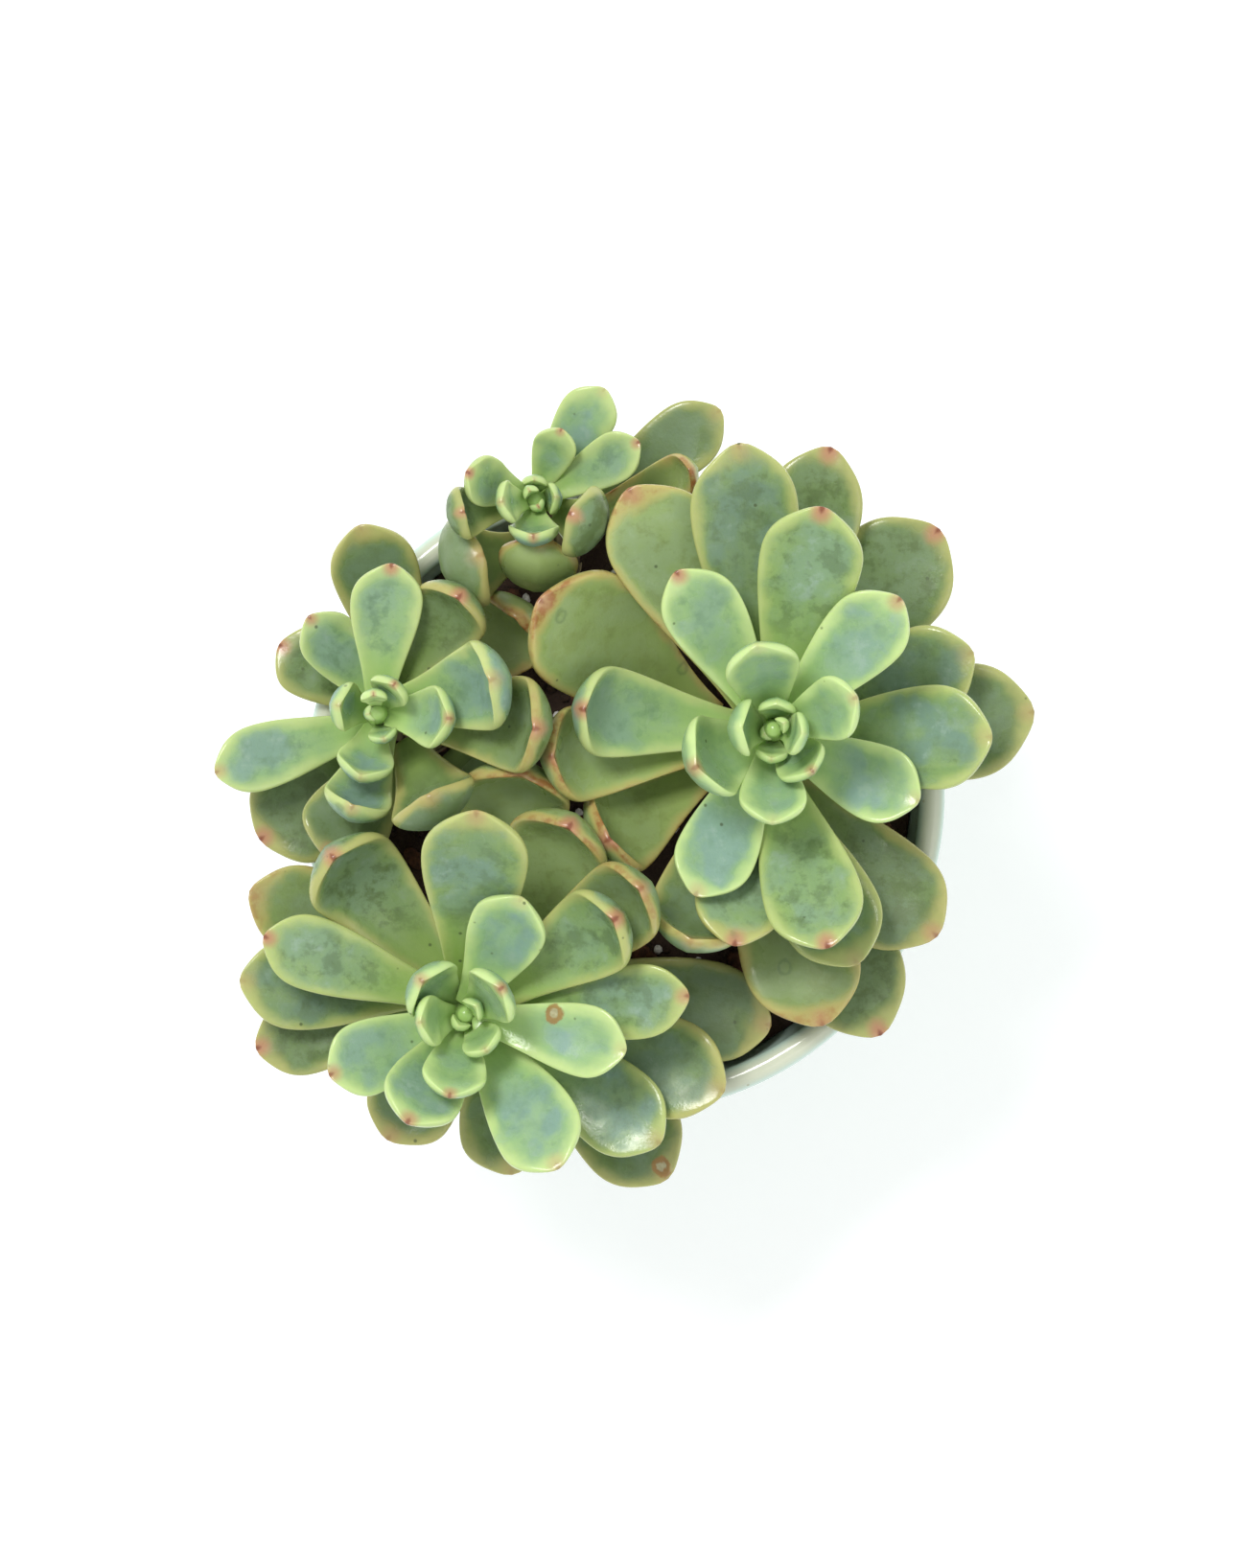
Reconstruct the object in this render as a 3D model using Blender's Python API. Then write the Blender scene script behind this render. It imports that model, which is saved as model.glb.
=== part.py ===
"""A potted succulent: four fleshy rosettes that grow as one clump in a round glazed pot.

Metres, +Z up. The origin is the middle of the pot's foot, on the surface that it stands on.
Seen from above, +X is to the right and +Y is away from the viewer.

Each rosette is a stem, a heart of young leaves that grow out of one growing point, and older leaves
set around the stem. The leaves are laid like a plant lays them, oldest first: every leaf is given the
spot that its tip reaches, and it sits at the lowest height where it clears all that is below it.
"""

import math

import bmesh
import bpy
import numpy as np
from mathutils.bvhtree import BVHTree

MM = 0.001

# Pot
POT_HEIGHT = 95 * MM
RIM_RADIUS = 62 * MM  # outside of the rim
FOOT_RADIUS = 45 * MM  # outside of the foot
WALL = 5 * MM
POT_FLOOR = 8 * MM
FOOT_RING = 7 * MM  # width of the flat ring that it stands on
FOOT_RECESS = 2 * MM
FOOT_ROUND = 5 * MM  # rounding between foot and wall
POT_SEGMENTS = 48

# Soil
SOIL_BELOW_RIM = 9 * MM
SOIL_MOUND = 3 * MM  # how much higher it is in the middle than at the wall
SOIL_STATIONS = np.array([1.0, 0.75, 0.4])  # shares of its edge radius, from the wall inwards
GAP = 0.3 * MM  # left between pieces that touch

# Stems
STEM_FOOT_RADIUS = 5.0 * MM
STEM_TOP_RADIUS = 3.0 * MM
STEM_DEPTH = 14 * MM  # how deep it stands in the soil
STEM_SIDE_SOIL = 0.8 * MM  # least soil between a stem's socket and the pot
SOCKET_RADIUS = STEM_FOOT_RADIUS + 2 * GAP
STEM_LEAN = 9 * MM  # how far it leans away from the pot's axis between the soil and its heart
LEAN_POWER = 1.4  # 1 would be a straight lean, more is upright for longer
STEM_SEGMENTS = 10
STEM_RINGS = 7
HEART_CORE_RADIUS = 2.6 * MM
HEART_CORE_OUTLINE = np.array([0.9, 1.0, 0.9, 0.5])  # shares of that radius, from its foot up
HEART_NECK = 4 * MM  # bare length of the core below the root of its lowest leaf
HEART_CROWN = 1 * MM  # how far the core stands above the root of its youngest leaf
YOUNG_ROOT_SHARE = 0.4  # young leaves start inside the core, at this share of its radius

# Leaves
LEAF_GAP = 0.35 * MM  # least air between two leaves
LEAF_STEM_GAP = 0.9 * MM  # from the stem's side to the root of a leaf
FIRST_LEAF_UP = 3 * MM  # root of the lowest leaf above the soil
SETTLE_STEP = 0.4 * MM
NEIGHBOUR_ANGLE = 35.0  # leaves nearer than this around the stem are stacked, oldest lowest
LEAF_ROOT_WIDTH = 0.40  # share of the full width
LEAF_ROOT_THICKNESS = 0.45  # share of the full thickness
LEAF_WIDEST_AT = 0.76  # share of the length
LEAF_THICKEST_AT = 0.60
LEAF_END_POWER = 2.3  # 2 would end the outline in a half oval, more is blunter
LEAF_EDGE_POWER = 4.0  # the same for the thickness
SECTION_POWER = 0.72  # 1 would be an oval section, less is squarer
LEAF_THIN = 1.1 * MM  # thickness = LEAF_THIN + LEAF_FLESH * width
LEAF_FLESH = 0.18
STEEPEST = 85.0  # slope at the root, in degrees
SLOPE_HALVINGS = 12  # steps of the search for that slope
FREE_FROM = 0.30  # the young leaves of a heart are joined below this share of their length

# How a leaf is made: length as a multiple of width, least slope at its root, upturn from root to tip,
# power of the way along with which it turns up, hollow of its face as a share of its width
HABITS = {
    "low": (1.5, 1.0, 12.0, 2.0, 0.07),
    "spread": (2.2, 7.0, 20.0, 2.0, 0.09),
    "hooked": (2.1, 4.0, 102.0, 2.8, 0.17),
    "cupped": (1.7, 5.0, 56.0, 2.0, 0.20),
    "heart": (1.9, 10.0, 24.0, 2.0, 0.14),
    "bud": (1.8, 10.0, 14.0, 2.0, 0.24),
}

# Each leaf is (direction from the heart in degrees, reach of its tip in mm, width in mm, habit).
# Directions turn from +X towards +Y. Within a rosette the tiers go from the oldest leaves to the youngest.
ROSETTES = {
    "main": {
        "heart": (27.5 * MM, 11.7 * MM),
        "rise": 30 * MM,
        "leaves": [
            [(290, 60.4, 21, "low"), (309, 49.3, 21, "low"), (4, 49, 22, "low"),
             (50, 49, 23, "low"), (78, 53.5, 19, "low"), (280, 55.6, 22, "low")],
            [(151, 50, 24, "spread"), (121, 51.5, 21, "spread"), (97, 52.5, 20, "spread"),
             (21, 40.2, 18, "spread"), (290, 46.4, 19, "spread"), (249, 43.8, 18, "hooked"),
             (214, 39, 18, "hooked")],
            [(187, 43, 18, "hooked"), (260, 40.8, 17, "spread"), (358, 40.7, 19.5, "spread"),
             (78, 41.4, 18.9, "spread"), (284, 41.7, 18.4, "spread")],
        ],
        "young": [
            [(174, 37, 17, "hooked"), (245, 34, 15, "heart"), (334, 30.3, 14.5, "heart"),
             (46, 33.2, 15, "heart"), (122, 34, 14.6, "heart")],
            [(206, 17.4, 16, "cupped"), (269, 18, 12.5, "heart"), (312, 11.2, 10, "heart"),
             (21, 16.4, 12, "heart"), (103, 16.4, 13.7, "heart")],
            [(178, 7.9, 10.5, "cupped"), (265, 6.2, 6, "heart"), (350, 5.9, 8, "heart"),
             (85, 5.4, 7, "heart")],
            [(30, 2.6, 3.2, "bud"), (210, 2.4, 3, "bud")],
        ],
    },
    "front": {
        "heart": (-29.5 * MM, -41.2 * MM),
        "rise": 26 * MM,
        "leaves": [
            [(238, 28.6, 17, "low"), (285, 31.7, 17, "low"), (320, 48.7, 20, "low"),
             (357, 56.7, 19, "low"), (190, 40, 16, "low")],
            [(77, 48, 21, "hooked"), (61, 42, 20, "hooked"), (343, 50.2, 19, "spread"),
             (151, 46.5, 17, "spread"), (172, 42.7, 17, "spread"), (36, 42, 17, "hooked"),
             (130, 40, 19, "hooked")],
            [(326, 43.5, 17, "spread"), (5, 41.4, 14, "spread"), (33, 34.8, 17, "hooked"),
             (86, 38.6, 19.7, "spread"), (159, 40, 14, "spread")],
        ],
        "young": [
            [(302, 33.3, 16.5, "spread"), (242, 22.9, 15, "heart"), (204, 27.8, 14, "heart"),
             (348, 30.6, 13.5, "heart"), (64, 25, 14.5, "heart")],
            [(260, 15.6, 12, "heart"), (139, 11.5, 12.5, "cupped"), (38, 10, 12, "heart")],
            [(187, 9, 9.5, "heart"), (303, 8.2, 8, "heart")],
            [(40, 3.6, 5, "bud"), (240, 3, 4, "bud")],
        ],
    },
    "left": {
        "heart": (-45.9 * MM, 14.9 * MM),
        "rise": 23 * MM,
        "leaves": [
            [(226, 32.8, 20, "low"), (250, 29, 17, "low"), (322, 27, 16, "low"),
             (36, 34, 17, "hooked")],
            [(96, 35.7, 16.5, "spread"), (146, 23.2, 14, "low"), (54, 28, 15, "hooked"),
             (354, 32, 18, "hooked"), (302, 23, 17, "hooked")],
        ],
        "young": [
            [(255, 20, 13, "hooked"), (15, 25, 17, "hooked"), (200, 32.4, 12.5, "spread"),
             (84, 27.8, 13.4, "heart"), (126, 22.6, 11.5, "heart")],
            [(256, 13.2, 10.8, "cupped"), (355, 14.8, 11.7, "cupped"), (170, 8.4, 9.3, "cupped"),
             (55, 7, 8, "heart")],
            [(285, 5.8, 5.5, "heart"), (95, 4, 5, "heart")],
            [(190, 2.2, 3, "bud")],
        ],
    },
    "back": {
        "heart": (-16.7 * MM, 54.5 * MM),
        "rise": 20 * MM,
        "leaves": [
            [(27, 38.7, 13.5, "low"), (12, 30.9, 9, "hooked"), (219, 20, 18, "hooked")],
            [(270, 15, 15, "hooked"), (335, 13, 14, "hooked"), (193, 15.5, 10, "hooked")],
        ],
        "young": [
            [(58, 24.7, 11, "spread"), (29, 22.4, 9.5, "heart"), (69, 14.5, 8.3, "heart"),
             (160, 13.6, 9.5, "heart")],
            [(190, 6.8, 8, "heart"), (270, 8.5, 9.5, "cupped"), (5, 4.8, 6, "heart"),
             (90, 4.3, 5, "heart")],
            [(120, 2.4, 3.2, "bud"), (300, 2.2, 3, "bud")],
        ],
    },
}

MIDRIB_STEPS = np.linspace(0, 1, 41)
END_ROUND = 0.35  # how far the end of a leaf stands out past its midrib, in thicknesses

# Stations along a leaf and corners around it
LEAF_STATIONS = np.array([0.0, 0.2, 0.4, 0.58, 0.74, 0.88, 0.97, 1.0])
LEAF_SIDES = 8
YOUNG_STATIONS = np.array([0.0, 0.3, 0.55, 0.78, 0.93, 1.0])
YOUNG_SIDES = 6

MATERIALS = {
    "leaf_flesh": ((0.30, 0.42, 0.24, 1.0), 0.45),
    "leaf_young": ((0.38, 0.52, 0.25, 1.0), 0.45),
    "stem_bark": ((0.26, 0.22, 0.13, 1.0), 0.75),
    "potting_mix": ((0.035, 0.022, 0.015, 1.0), 0.9),
    "pot_glaze": ((0.62, 0.76, 0.68, 1.0), 0.2),
}


def clear_scene():
    """Takes away whatever the scene holds at the start."""
    for obj in list(bpy.data.objects):
        bpy.data.objects.remove(obj, do_unlink=True)


def material(name):
    """The named material, made the first time that it is asked for."""
    found = bpy.data.materials.get(name)
    if found:
        return found
    colour, roughness = MATERIALS[name]
    made = bpy.data.materials.new(name)
    made.use_nodes = True
    shader = made.node_tree.nodes["Principled BSDF"]
    shader.inputs["Base Color"].default_value = colour
    shader.inputs["Roughness"].default_value = roughness
    shader.inputs["Metallic"].default_value = 0.0
    made.diffuse_color = colour
    return made


def add_object(name, points, faces, finish):
    """A smooth-shaded mesh object in the scene's own collection."""
    mesh = bpy.data.meshes.new(name)
    mesh.from_pydata([tuple(map(float, point)) for point in points], [], faces)
    mesh.shade_smooth()
    mesh.materials.append(material(finish))
    obj = bpy.data.objects.new(name, mesh)
    bpy.context.scene.collection.objects.link(obj)
    return obj


def make_helper(obj):
    """Keeps an operand of a Boolean out of the model."""
    obj.hide_render = True
    obj.display_type = "WIRE"


def apply_joins(obj, helpers):
    """Applies the object's Booleans, and drops the helpers and any pocket closed in between them."""
    graph = bpy.context.evaluated_depsgraph_get()
    mesh = bpy.data.meshes.new_from_object(obj.evaluated_get(graph))
    shell = bmesh.new()
    shell.from_mesh(mesh)
    groups = []
    left = set(shell.faces)
    while left:
        group = set()
        edge_of_group = [left.pop()]
        while edge_of_group:
            face = edge_of_group.pop()
            group.add(face)
            beside = {other for edge in face.edges for other in edge.link_faces} & left
            left -= beside
            edge_of_group += beside
        groups.append(group)
    outside = max(groups, key=len)
    pockets = [face for face in shell.faces if face not in outside]
    bmesh.ops.delete(shell, geom=pockets, context="FACES")
    shell.to_mesh(mesh)
    shell.free()
    obj.modifiers.clear()
    obj.data = mesh
    for helper in helpers:
        bpy.data.objects.remove(helper)


def side_faces(count, sides):
    """The four-cornered faces between rings of points that are numbered one ring after the other."""
    faces = []
    for low in range(0, (count - 1) * sides, sides):
        high = low + sides
        for j in range(sides):
            k = (j + 1) % sides
            faces.append((low + j, low + k, high + k, high + j))
    return faces


def rings(loops):
    """Closed skin through equal rings of points, given from one end to the other, with flat ends."""
    count, sides = len(loops), len(loops[0])
    faces = [tuple(reversed(range(sides)))]
    faces += side_faces(count, sides)
    faces.append(tuple(range((count - 1) * sides, count * sides)))
    return np.concatenate(loops), faces


def turned(profile, segments):
    """Solid turned about the Z axis from (radius, height) points that start and end on the axis.

    The points run from the axis at the bottom, up the outside, and back to the axis at the top."""
    bottom, *between, top = profile
    angles = np.arange(segments) * 2 * math.pi / segments
    points = [(0.0, 0.0, bottom[1])]
    for radius, height in between:
        points += [(radius * math.cos(a), radius * math.sin(a), height) for a in angles]
    points.append((0.0, 0.0, top[1]))
    last = len(points) - 1
    end = last - segments
    faces = []
    for j in range(segments):
        k = (j + 1) % segments
        faces.append((0, 1 + k, 1 + j))
        for i in range(len(between) - 1):
            low, high = 1 + i * segments, 1 + (i + 1) * segments
            faces.append((low + j, low + k, high + k, high + j))
        faces.append((end + j, end + k, last))
    return np.array(points), faces


def arc(middle, radius, start, stop, steps):
    """Points of an arc in the (radius, height) plane, angles in degrees."""
    angles = np.radians(np.linspace(start, stop, steps + 1))
    return [(middle[0] + radius * math.cos(a), middle[1] + radius * math.sin(a)) for a in angles]


# Pot


def outer_radius(height):
    """Outside of the pot's wall, which widens evenly from the foot to the rim."""
    return FOOT_RADIUS + (RIM_RADIUS - FOOT_RADIUS) * height / POT_HEIGHT


def inner_radius(height):
    """Inside of the pot's wall."""
    return outer_radius(height) - WALL


def pot_profile():
    """Foot ring with its recess, rounded shoulder, straight wall, round lip and flat floor inside."""
    lip = WALL / 2
    lip_height = POT_HEIGHT - lip
    recess_radius = FOOT_RADIUS - FOOT_ROUND - FOOT_RING
    shoulder = (outer_radius(FOOT_ROUND) - FOOT_ROUND, FOOT_ROUND)
    profile = [(0.0, FOOT_RECESS), (recess_radius, FOOT_RECESS), (recess_radius + FOOT_RECESS / 2, 0.0)]
    profile += arc(shoulder, FOOT_ROUND, -90, 0, 3)
    profile += arc((outer_radius(lip_height) - lip, lip_height), lip, 0, 180, 6)
    profile += [(inner_radius(POT_FLOOR), POT_FLOOR), (0.0, POT_FLOOR)]
    return profile


# Soil


def soil_height(radius):
    """Top of the soil: a low mound that falls to the wall."""
    edge = inner_radius(POT_HEIGHT - SOIL_BELOW_RIM) - GAP
    return POT_HEIGHT - SOIL_BELOW_RIM + SOIL_MOUND * max(0.0, 1 - (radius / edge) ** 2)


def soil_profile():
    """Fills the pot to its line, a gap clear of floor and wall."""
    edge = inner_radius(POT_HEIGHT - SOIL_BELOW_RIM) - GAP
    low = POT_FLOOR + GAP
    profile = [(0.0, low), (inner_radius(low) - GAP, low)]
    profile += [(radius, soil_height(radius)) for radius in edge * SOIL_STATIONS]
    profile.append((0.0, soil_height(0.0)))
    return profile


# Stems


def stem_ground(rosette):
    """Where a stem leaves the soil: nearer to the pot's axis than its heart is, with soil all round it."""
    heart = np.array(rosette["heart"])
    away = np.hypot(*heart)
    socket_foot = POT_HEIGHT - SOIL_BELOW_RIM - STEM_DEPTH - 2 * GAP
    furthest = inner_radius(socket_foot) - GAP - STEM_SIDE_SOIL - SOCKET_RADIUS
    return heart * min(away - STEM_LEAN, furthest) / away


def stem_foot_height(rosette):
    """Height at which a stem leaves the soil."""
    return soil_height(float(np.hypot(*stem_ground(rosette))))


def stem_share(rosette, height):
    """How far up the stem a height is, from 0 at the soil to 1 at the heart."""
    return min(1.0, max(0.0, (height - stem_foot_height(rosette)) / rosette["rise"]))


def stem_middle(rosette, height):
    """Middle of the stem at a height: upright in the soil, then leaning out until it is under the heart."""
    share = stem_share(rosette, height) ** LEAN_POWER
    return stem_ground(rosette) * (1 - share) + np.array(rosette["heart"]) * share


def stem_radius(rosette, height):
    """Radius at a height, which narrows evenly from the soil to the heart."""
    return STEM_FOOT_RADIUS + (STEM_TOP_RADIUS - STEM_FOOT_RADIUS) * stem_share(rosette, height)


def upright_tube(middles, heights, radii, segments):
    """Tube through level rings."""
    angles = np.arange(segments) * 2 * math.pi / segments
    around = np.stack([np.cos(angles), np.sin(angles)], axis=1)
    loops = []
    for middle, height, radius in zip(middles, heights, radii):
        level = np.full((segments, 1), height)
        loops.append(np.hstack([middle + around * radius, level]))
    return rings(loops)


# Leaves


def leaf_width(share):
    """Outline: narrow at the root, widest three quarters along, then a blunt end."""
    rise = np.clip(share / LEAF_WIDEST_AT, 0, 1)
    body = LEAF_ROOT_WIDTH + (1 - LEAF_ROOT_WIDTH) * rise * rise * (3 - 2 * rise)
    past = np.clip((share - LEAF_WIDEST_AT) / (1 - LEAF_WIDEST_AT), 0, 1)
    return body * np.sqrt(1 - past**LEAF_END_POWER)


def leaf_thickness(share):
    """Thickness along the leaf: thin at the root, fleshy past the middle, rounded off at the end."""
    rise = np.clip(share / LEAF_THICKEST_AT, 0, 1)
    past = np.clip((share - LEAF_THICKEST_AT) / (1 - LEAF_THICKEST_AT), 0, 1)
    return (LEAF_ROOT_THICKNESS + (1 - LEAF_ROOT_THICKNESS) * rise) * np.sqrt(1 - past**LEAF_EDGE_POWER)


def section(around):
    """Across and height of a fleshy section with blunt margins: a squared oval of half width 1."""
    side, face = np.cos(around), np.sin(around)
    across = np.sign(side) * np.abs(side) ** SECTION_POWER
    height = np.sign(face) * np.abs(face) ** SECTION_POWER
    return across, height


def midrib(slope, upturn, power):
    """Run and climb of a midrib of unit length: its slope grows with a power of the way along it."""
    angle = np.radians(slope + upturn * MIDRIB_STEPS**power)
    between = (angle[1:] + angle[:-1]) / 2
    step = MIDRIB_STEPS[1]
    run = np.concatenate([[0], np.cumsum(np.cos(between))]) * step
    climb = np.concatenate([[0], np.cumsum(np.sin(between))]) * step
    return run, climb


def leaf_shape(rosette, leaf, root_height, root_radius, swell, stations, sides):
    """Points and faces of one leaf.

    Its midrib leaves the stem at a slope and turns up towards the tip. The slope is the one at which it
    ends at the leaf's reach from the heart, seen from above, and a leaf too short for that is lengthened.
    Sections are flat ovals, hollow on the upper side."""
    direction, reach, width, habit = leaf
    aspect, least_slope, upturn, power, hollow = HABITS[habit]
    width = width * MM
    thickness = LEAF_THIN + LEAF_FLESH * width
    direction = math.radians(direction)
    middle = stem_middle(rosette, root_height)
    tip = np.array(rosette["heart"]) + reach * MM * np.array([math.cos(direction), math.sin(direction)])
    away = float(np.hypot(*(tip - middle)))
    outward = (tip - middle) / away
    root_thickness = thickness * float(leaf_thickness(np.array(0.0)))

    def root_at(slope):
        """How far from the stem's middle the midrib starts."""
        return root_radius + 0.5 * root_thickness * math.sin(math.radians(slope))

    def reached(slope):
        """How far from the stem's middle the leaf ends, at its length by its habit."""
        run = aspect * width * midrib(slope, upturn, power)[0].max()
        return root_at(slope) + run + END_ROUND * thickness * math.sin(math.radians(slope + upturn))

    length = aspect * width
    slope = least_slope
    if reached(slope) < away:
        length += (away - reached(slope)) / midrib(slope, upturn, power)[0].max()
    else:
        steep = STEEPEST
        for _ in range(SLOPE_HALVINGS):
            between = (slope + steep) / 2
            if reached(between) > away:
                slope = between
            else:
                steep = between
    run, climb = midrib(slope, upturn, power)
    along = np.interp(stations, MIDRIB_STEPS, run) * length + root_at(slope)
    up = np.interp(stations, MIDRIB_STEPS, climb) * length + root_height
    tilt = np.radians(slope + upturn * stations**power)
    half = (0.5 * width * leaf_width(stations) + swell)[:, None]
    deep = (0.5 * thickness * leaf_thickness(stations) + swell)[:, None]
    side, face = section(np.arange(sides) * 2 * math.pi / sides)
    across = half * side
    height = deep * face + hollow * width * leaf_width(stations)[:, None] * side**2
    flat = along[:, None] - height * np.sin(tilt)[:, None]
    level = up[:, None] + height * np.cos(tilt)[:, None]
    x = middle[0] + flat * outward[0] - across * outward[1]
    y = middle[1] + flat * outward[1] + across * outward[0]
    points = np.stack([x, y, level], axis=2)
    # The last station is one point
    last = (len(stations) - 1) * sides
    skin = np.vstack([points[:-1].reshape(-1, 3), points[-1].mean(axis=0)])
    faces = [tuple(reversed(range(sides)))] + side_faces(len(stations) - 1, sides)
    faces += [(last - sides + j, last - sides + (j + 1) % sides, last) for j in range(sides)]
    return skin, faces


class Body:
    """A solid that later leaves have to clear. A young leaf names the heart that it is joined to."""

    def __init__(self, points, faces, heart=None):
        self.low = points.min(axis=0)
        self.high = points.max(axis=0)
        self.tree = BVHTree.FromPolygons([tuple(point) for point in points.tolist()], faces)
        self.heart = heart

    def meets(self, other):
        """Whether the two skins cross. Boxes that are apart settle it without the trees."""
        apart = (self.low > other.high).any() or (self.high < other.low).any()
        return not apart and bool(self.tree.overlap(other.tree))


def leaf_root_radius(rosette, height, young):
    """Young leaves start inside the heart's core, older ones a gap clear of the stem."""
    if young:
        return HEART_CORE_RADIUS * YOUNG_ROOT_SHARE
    return stem_radius(rosette, height) + LEAF_STEM_GAP


def leaf_body(name, rosette, leaf, height, young, swell):
    """The leaf as an obstacle. Young leaves of one heart may touch below FREE_FROM, where they are joined."""
    stations = YOUNG_STATIONS if young else LEAF_STATIONS
    sides = YOUNG_SIDES if young else LEAF_SIDES
    radius = leaf_root_radius(rosette, height, young)
    body = Body(*leaf_shape(rosette, leaf, height, radius, swell, stations, sides), name if young else None)
    if young:
        kept = stations[stations >= FREE_FROM]
        body.free = Body(*leaf_shape(rosette, leaf, height, radius, swell / 2, kept, sides))
    return body


def settle(name, rosette, leaf, young, lowest, bodies, roots):
    """The least root height at which the leaf clears every body and is above the older leaves beside it."""
    beside = [
        height for direction, height in roots
        if abs((direction - leaf[0] + 180) % 360 - 180) < NEIGHBOUR_ANGLE
    ]
    height = max([lowest] + [each + SETTLE_STEP for each in beside])
    while True:
        body = leaf_body(name, rosette, leaf, height, young, LEAF_GAP)
        clash = any(
            body.free.meets(other.free) if young and other.heart == name else body.meets(other)
            for other in bodies
        )
        if not clash:
            return height
        height += SETTLE_STEP


def grow(bodies):
    """Sets every leaf of every rosette, tier by tier, and gives each one's root height."""
    heights = {name: {"leaves": [], "young": []} for name in ROSETTES}
    roots = {name: [] for name in ROSETTES}
    lowest = {name: stem_foot_height(rosette) + FIRST_LEAF_UP for name, rosette in ROSETTES.items()}
    for age in ("leaves", "young"):
        most = max(len(rosette[age]) for rosette in ROSETTES.values())
        for tier in range(most):
            for name, rosette in ROSETTES.items():
                leaves = rosette[age][tier] if tier < len(rosette[age]) else []
                young = age == "young"
                tier_heights = []
                for leaf in leaves:
                    height = settle(name, rosette, leaf, young, lowest[name], bodies, roots[name])
                    roots[name].append((leaf[0], height))
                    tier_heights.append(height)
                    heights[name][age].append((leaf, height))
                    bodies.append(leaf_body(name, rosette, leaf, height, young, 0.0))
                if leaves:
                    lowest[name] = max(lowest[name], sum(tier_heights) / len(leaves))
    return heights


# Objects


def make_pot():
    """The pot, turned from its outline."""
    add_object("pot", *turned(pot_profile(), POT_SEGMENTS), "pot_glaze")


def make_soil():
    """The soil, with a socket around the foot of each stem."""
    soil = add_object("soil", *turned(soil_profile(), POT_SEGMENTS), "potting_mix")
    for name, rosette in ROSETTES.items():
        ground = stem_foot_height(rosette)
        heights = [ground - STEM_DEPTH - GAP, ground + STEM_DEPTH]
        tube = upright_tube([stem_ground(rosette)] * 2, heights, [SOCKET_RADIUS] * 2, STEM_SEGMENTS)
        socket = add_object(name + "_socket", *tube, "potting_mix")
        make_helper(socket)
        cut = soil.modifiers.new(name + "_socket", "BOOLEAN")
        cut.operation = "DIFFERENCE"
        cut.object = socket


def make_stem(name, rosette, top):
    """The stem, from its foot in the soil to just under the heart."""
    foot = stem_foot_height(rosette)
    heights = np.concatenate([[foot - STEM_DEPTH], np.linspace(foot, top, STEM_RINGS)])
    middles = [stem_middle(rosette, height) for height in heights]
    radii = [stem_radius(rosette, height) for height in heights]
    add_object(name + "_stem", *upright_tube(middles, heights, radii, STEM_SEGMENTS), "stem_bark")


def make_heart(name, rosette, leaves):
    """The growing point and its young leaves, as one grown piece. Gives the height of its foot."""
    roots = [height for leaf, height in leaves]
    low = min(roots) - HEART_NECK
    heights = np.linspace(low, max(roots) + HEART_CROWN, len(HEART_CORE_OUTLINE))
    middles = [stem_middle(rosette, height) for height in heights]
    core = upright_tube(middles, heights, HEART_CORE_RADIUS * HEART_CORE_OUTLINE, STEM_SEGMENTS)
    heart = add_object(name + "_heart", *core, "leaf_young")
    helpers = []
    for number, (leaf, height) in enumerate(leaves, 1):
        radius = leaf_root_radius(rosette, height, True)
        shape = leaf_shape(rosette, leaf, height, radius, 0.0, YOUNG_STATIONS, YOUNG_SIDES)
        young = add_object(f"{name}_young_{number:02d}", *shape, "leaf_young")
        make_helper(young)
        helpers.append(young)
        join = heart.modifiers.new(young.name, "BOOLEAN")
        join.operation = "UNION"
        join.solver = "MANIFOLD"  # the exact solver drops leaves where their roots crowd together
        join.object = young
    apply_joins(heart, helpers)
    return low


def make_plant():
    """Grows the leaves over the pot and the soil, then makes each rosette from its heights."""
    bodies = [Body(*turned(pot_profile(), POT_SEGMENTS)), Body(*turned(soil_profile(), POT_SEGMENTS))]
    heights = grow(bodies)
    for name, rosette in ROSETTES.items():
        for number, (leaf, height) in enumerate(heights[name]["leaves"], 1):
            radius = leaf_root_radius(rosette, height, False)
            shape = leaf_shape(rosette, leaf, height, radius, 0.0, LEAF_STATIONS, LEAF_SIDES)
            add_object(f"{name}_leaf_{number:02d}", *shape, "leaf_flesh")
        heart_foot = make_heart(name, rosette, heights[name]["young"])
        make_stem(name, rosette, heart_foot - GAP)


clear_scene()
make_pot()
make_soil()
make_plant()
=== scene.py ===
"""A potted succulent: four fleshy rosettes that grow as one clump in a round glazed pot, seen from above.

Metres, +Z up. The pot stands at the origin. The parts are built in the order in which the plant is potted:
pot, potting mix, stems, then the leaves from the oldest at the soil to the youngest in the hearts."""

import math

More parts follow.
